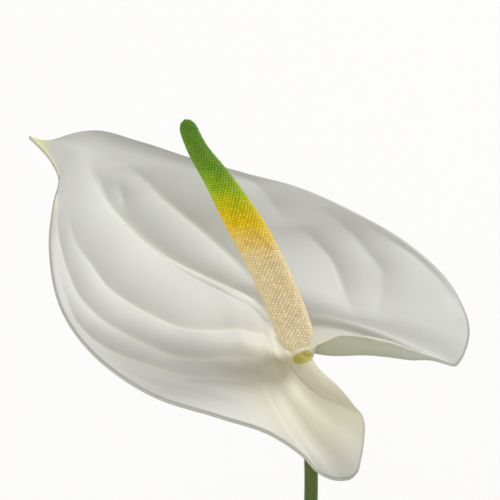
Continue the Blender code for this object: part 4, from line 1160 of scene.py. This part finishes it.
def floret_tree():
    """Geometry nodes that pack florets in a spiral round the curve of the spadix."""
    tree = bpy.data.node_groups.new("spiral_of_florets", "GeometryNodeTree")
    face = tree.interface
    face.new_socket("Geometry", in_out="INPUT", socket_type="NodeSocketGeometry")
    face.new_socket("Florets", in_out="INPUT", socket_type="NodeSocketInt")
    for name in ("Floret size", "Turn", "Sink", "Full radius"):
        face.new_socket(name, in_out="INPUT", socket_type="NodeSocketFloat")
    face.new_socket("Seed", in_out="INPUT", socket_type="NodeSocketInt")
    face.new_socket("Geometry", in_out="OUTPUT", socket_type="NodeSocketGeometry")
    start = add(tree, "NodeGroupInput").outputs
    spots = add(tree, "GeometryNodePoints", {"Count": start["Florets"]})
    index = add(tree, "GeometryNodeInputIndex").outputs["Index"]
    middle = add(tree, "ShaderNodeMath", {0: index, 1: 0.5}, operation="ADD")
    share = add(tree, "ShaderNodeMath", {0: middle.outputs["Value"], 1: start["Florets"]},
                operation="DIVIDE")
    thick = add(tree, "GeometryNodeInputRadius").outputs["Radius"]
    core = add(tree, "GeometryNodeSampleCurve", {"Curves": start["Geometry"],
                                                 "Factor": share.outputs["Value"],
                                                 "Value": thick}, use_all_curves=True)
    angle = add(tree, "ShaderNodeMath", {0: index, 1: start["Turn"]}, operation="MULTIPLY")
    spin = add(tree, "ShaderNodeVectorRotate", {"Vector": core.outputs["Normal"],
                                                "Axis": core.outputs["Tangent"],
                                                "Angle": angle.outputs["Value"]})
    depth = add(tree, "ShaderNodeMath", {0: core.outputs["Value"], 1: start["Sink"]}, operation="SUBTRACT")
    reach = add(tree, "ShaderNodeVectorMath", {0: spin.outputs["Vector"]}, operation="SCALE")
    tree.links.new(depth.outputs["Value"], reach.inputs["Scale"])
    at = add(tree, "ShaderNodeVectorMath", {0: core.outputs["Position"], 1: reach.outputs["Vector"]})
    placed = add(tree, "GeometryNodeSetPosition", {"Geometry": spots.outputs["Geometry"],
                                                   "Position": at.outputs["Vector"]})
    aim = add(tree, "FunctionNodeAxesToRotation", {"Primary Axis": spin.outputs["Vector"],
                                                   "Secondary Axis": core.outputs["Tangent"]},
              primary_axis="Z", secondary_axis="X")
    relative = add(tree, "ShaderNodeMath", {0: core.outputs["Value"], 1: start["Full radius"]},
                   operation="DIVIDE")
    root = add(tree, "ShaderNodeMath", {0: relative.outputs["Value"], 1: 0.5}, operation="POWER")
    vary = add(tree, "FunctionNodeRandomValue", {2: 0.92, 3: 1.08, "Seed": start["Seed"]})
    size = add(tree, "ShaderNodeMath", {0: root.outputs["Value"], 1: vary.outputs[1]}, operation="MULTIPLY")
    size = add(tree, "ShaderNodeMath", {0: size.outputs["Value"], 1: start["Floret size"]},
               operation="MULTIPLY")
    knob = add(tree, "GeometryNodeMeshUVSphere", {"Segments": 6, "Rings": 5, "Radius": 0.5})
    spot = add(tree, "GeometryNodeInputPosition").outputs["Position"]
    high = add(tree, "ShaderNodeSeparateXYZ", {0: spot})
    crown = add(tree, "ShaderNodeMath", {0: high.outputs["Z"], 1: 1.0, 2: 0.5}, operation="MULTIPLY_ADD")
    crowned = add(tree, "GeometryNodeStoreNamedAttribute", {"Geometry": knob.outputs["Mesh"],
                                                            "Name": "crown",
                                                            "Value": crown.outputs["Value"]},
                  data_type="FLOAT", domain="POINT")
    laid = add(tree, "GeometryNodeInstanceOnPoints", {"Points": placed.outputs["Geometry"],
                                                      "Instance": crowned.outputs["Geometry"],
                                                      "Rotation": aim.outputs["Rotation"],
                                                      "Scale": size.outputs["Value"]})
    tone = add(tree, "FunctionNodeRandomValue", {2: 0.0, 3: 1.0, "Seed": start["Seed"]})
    toned = add(tree, "GeometryNodeStoreNamedAttribute", {"Geometry": laid.outputs["Instances"],
                                                          "Name": "tone", "Value": tone.outputs[1]},
                data_type="FLOAT", domain="INSTANCE")
    real = add(tree, "GeometryNodeRealizeInstances", {"Geometry": toned.outputs["Geometry"]})
    smooth = add(tree, "GeometryNodeSetShadeSmooth", {"Geometry": real.outputs["Geometry"]})
    dressed = add(tree, "GeometryNodeSetMaterial", {"Geometry": smooth.outputs["Geometry"],
                                                    "Material": floret_skin})
    add(tree, "NodeGroupOutput", {"Geometry": dressed.outputs["Geometry"]})
    return tree


sideways = Vector((1.0, 0.0, 0.0))
shares = np.linspace(0, 1, SPADIX_RINGS + 1)
line = smooth_line([(x, up, 0) for x, up in SPADIX_LINE], shares) * MM
start = JOIN + sideways.cross(SPADIX_SLOPE) * SPADIX_FORWARD
route = np.array([start + sideways * x + SPADIX_SLOPE * up for x, up, _ in line])
taper = ease((shares - SPADIX_TAPER_FROM) / (1 - SPADIX_TAPER_FROM))
full = SPADIX_RADIUS + (SPADIX_TIP_RADIUS - SPADIX_RADIUS) * taper
root = 0.5 + 0.5 * np.sqrt(1 - (1 - np.minimum(shares / SPADIX_ROOT_SHARE, 1.0)) ** 2)
end = np.sqrt(1 - np.clip(1 - (1 - shares) / SPADIX_END_SHARE, 0, 1) ** 2)
radii = full * root * np.maximum(end, BLUNT_END)
core = stalk("spadix_core", route, radii - FLORET_SIZE * CORE_INSET, floret_skin)
for name in ("crown", "tone"):
    core.data.attributes.new(name, "FLOAT", "POINT")
guide = bpy.data.curves.new("spadix_guide", "CURVE")
guide.dimensions = "3D"
spline = guide.splines.new("POLY")
spline.points.add(SPADIX_RINGS)
for point, at, radius in zip(spline.points, route, radii):
    point.co = (*at, 1.0)
    point.radius = radius
guide_piece = bpy.data.objects.new("spadix_guide", guide)
bpy.context.scene.collection.objects.link(guide_piece)
nodes = guide_piece.modifiers.new("florets", "NODES")
nodes.node_group = floret_tree()
named = {"Florets": FLORET_COUNT, "Floret size": FLORET_SIZE, "Turn": GOLDEN_ANGLE,
         "Sink": FLORET_SINK + KNOB_SINK * FLORET_SIZE, "Full radius": SPADIX_RADIUS, "Seed": SPADIX_SEED}
for item in nodes.node_group.interface.items_tree:
    if item.item_type == "SOCKET" and item.in_out == "INPUT" and item.name in named:
        nodes[item.identifier] = named[item.name]
bpy.context.view_layer.update()
graph = bpy.context.evaluated_depsgraph_get()
florets = new_piece("spadix_florets", bpy.data.meshes.new_from_object(guide_piece.evaluated_get(graph)))
bpy.data.objects.remove(guide_piece)
spadix = joined(florets, core)
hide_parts("spadix")
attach(spadix, "root")

# Camera, floor and lights. The camera looks down on the flower as in the photograph. A pale floor runs
# on far behind it. A broad soft sun shines from behind and the right, a weak soft one fills in from
# the front and the left, and the sky is even and pale.
CLIP_END = 100
FLOOR_RADIUS = 14.0
FLOOR_SHADED = 0.3
FLOOR_WHITE = 0.8
# Strength, spread in degrees, and the direction from which each sun shines
SUNS = {
    "key": (2.3, 25, (0.42, 0.62, 0.66)),
    "fill": (0.6, 40, (-0.25, -0.93, 0.27)),
}
SKY_COLOUR = "#F8F7F3"
SKY_STRENGTH = 0.47
camera = bpy.data.objects.new("camera", bpy.data.cameras.new("camera"))
camera.location = CAMERA_PLACE
camera.rotation_euler = (math.radians(90) - LOOK_DOWN, 0, 0)
camera.data.lens = LENS
camera.data.sensor_width = FILM_WIDTH
camera.data.clip_end = CLIP_END
bpy.context.scene.collection.objects.link(camera)
bpy.context.scene.camera = camera

# Studio floor: matt white paint, with painted shade that makes it a little greyer round the pot.
floor_paint, tree, shader = new_finish("white_studio_floor", Roughness=0.9, Specular_IOR_Level=0.1)
place = add(tree, "ShaderNodeTexCoord").outputs["Object"]
away = add(tree, "ShaderNodeVectorMath", {0: place}, operation="LENGTH")
# Painted shade: grey near the pot, fading to white further off.
floor_unshaded = add(tree, "ShaderNodeMapRange", {"Value": away.outputs["Value"], "From Min": FLOOR_SHADED,
                                        "From Max": FLOOR_WHITE})
floor_colour = add(tree, "ShaderNodeMix", {"Factor": floor_unshaded.outputs["Result"], "A": linear("#D8D8D6"),
                                           "B": linear("#FFFFFF")}, data_type="RGBA")
tree.links.new(floor_colour.outputs["Result"], shader.inputs["Base Color"])
bpy.ops.mesh.primitive_circle_add(vertices=96, radius=FLOOR_RADIUS, fill_type="NGON")
floor = bpy.context.object
floor.name = "studio_floor"
floor.data.materials.append(floor_paint)

for name, (strength, spread, direction) in SUNS.items():
    sun = bpy.data.objects.new(name, bpy.data.lights.new(name, "SUN"))
    sun.data.energy = strength
    sun.data.angle = math.radians(spread)
    sun.rotation_euler = Vector(direction).to_track_quat("Z", "Y").to_euler()
    bpy.context.scene.collection.objects.link(sun)
sky = bpy.data.worlds.new("soft_sky")
bpy.context.scene.world = sky
sky.use_nodes = True
sky.node_tree.nodes["Background"].inputs["Color"].default_value = linear(SKY_COLOUR)
sky.node_tree.nodes["Background"].inputs["Strength"].default_value = SKY_STRENGTH
bpy.context.scene.view_settings.view_transform = "Standard"
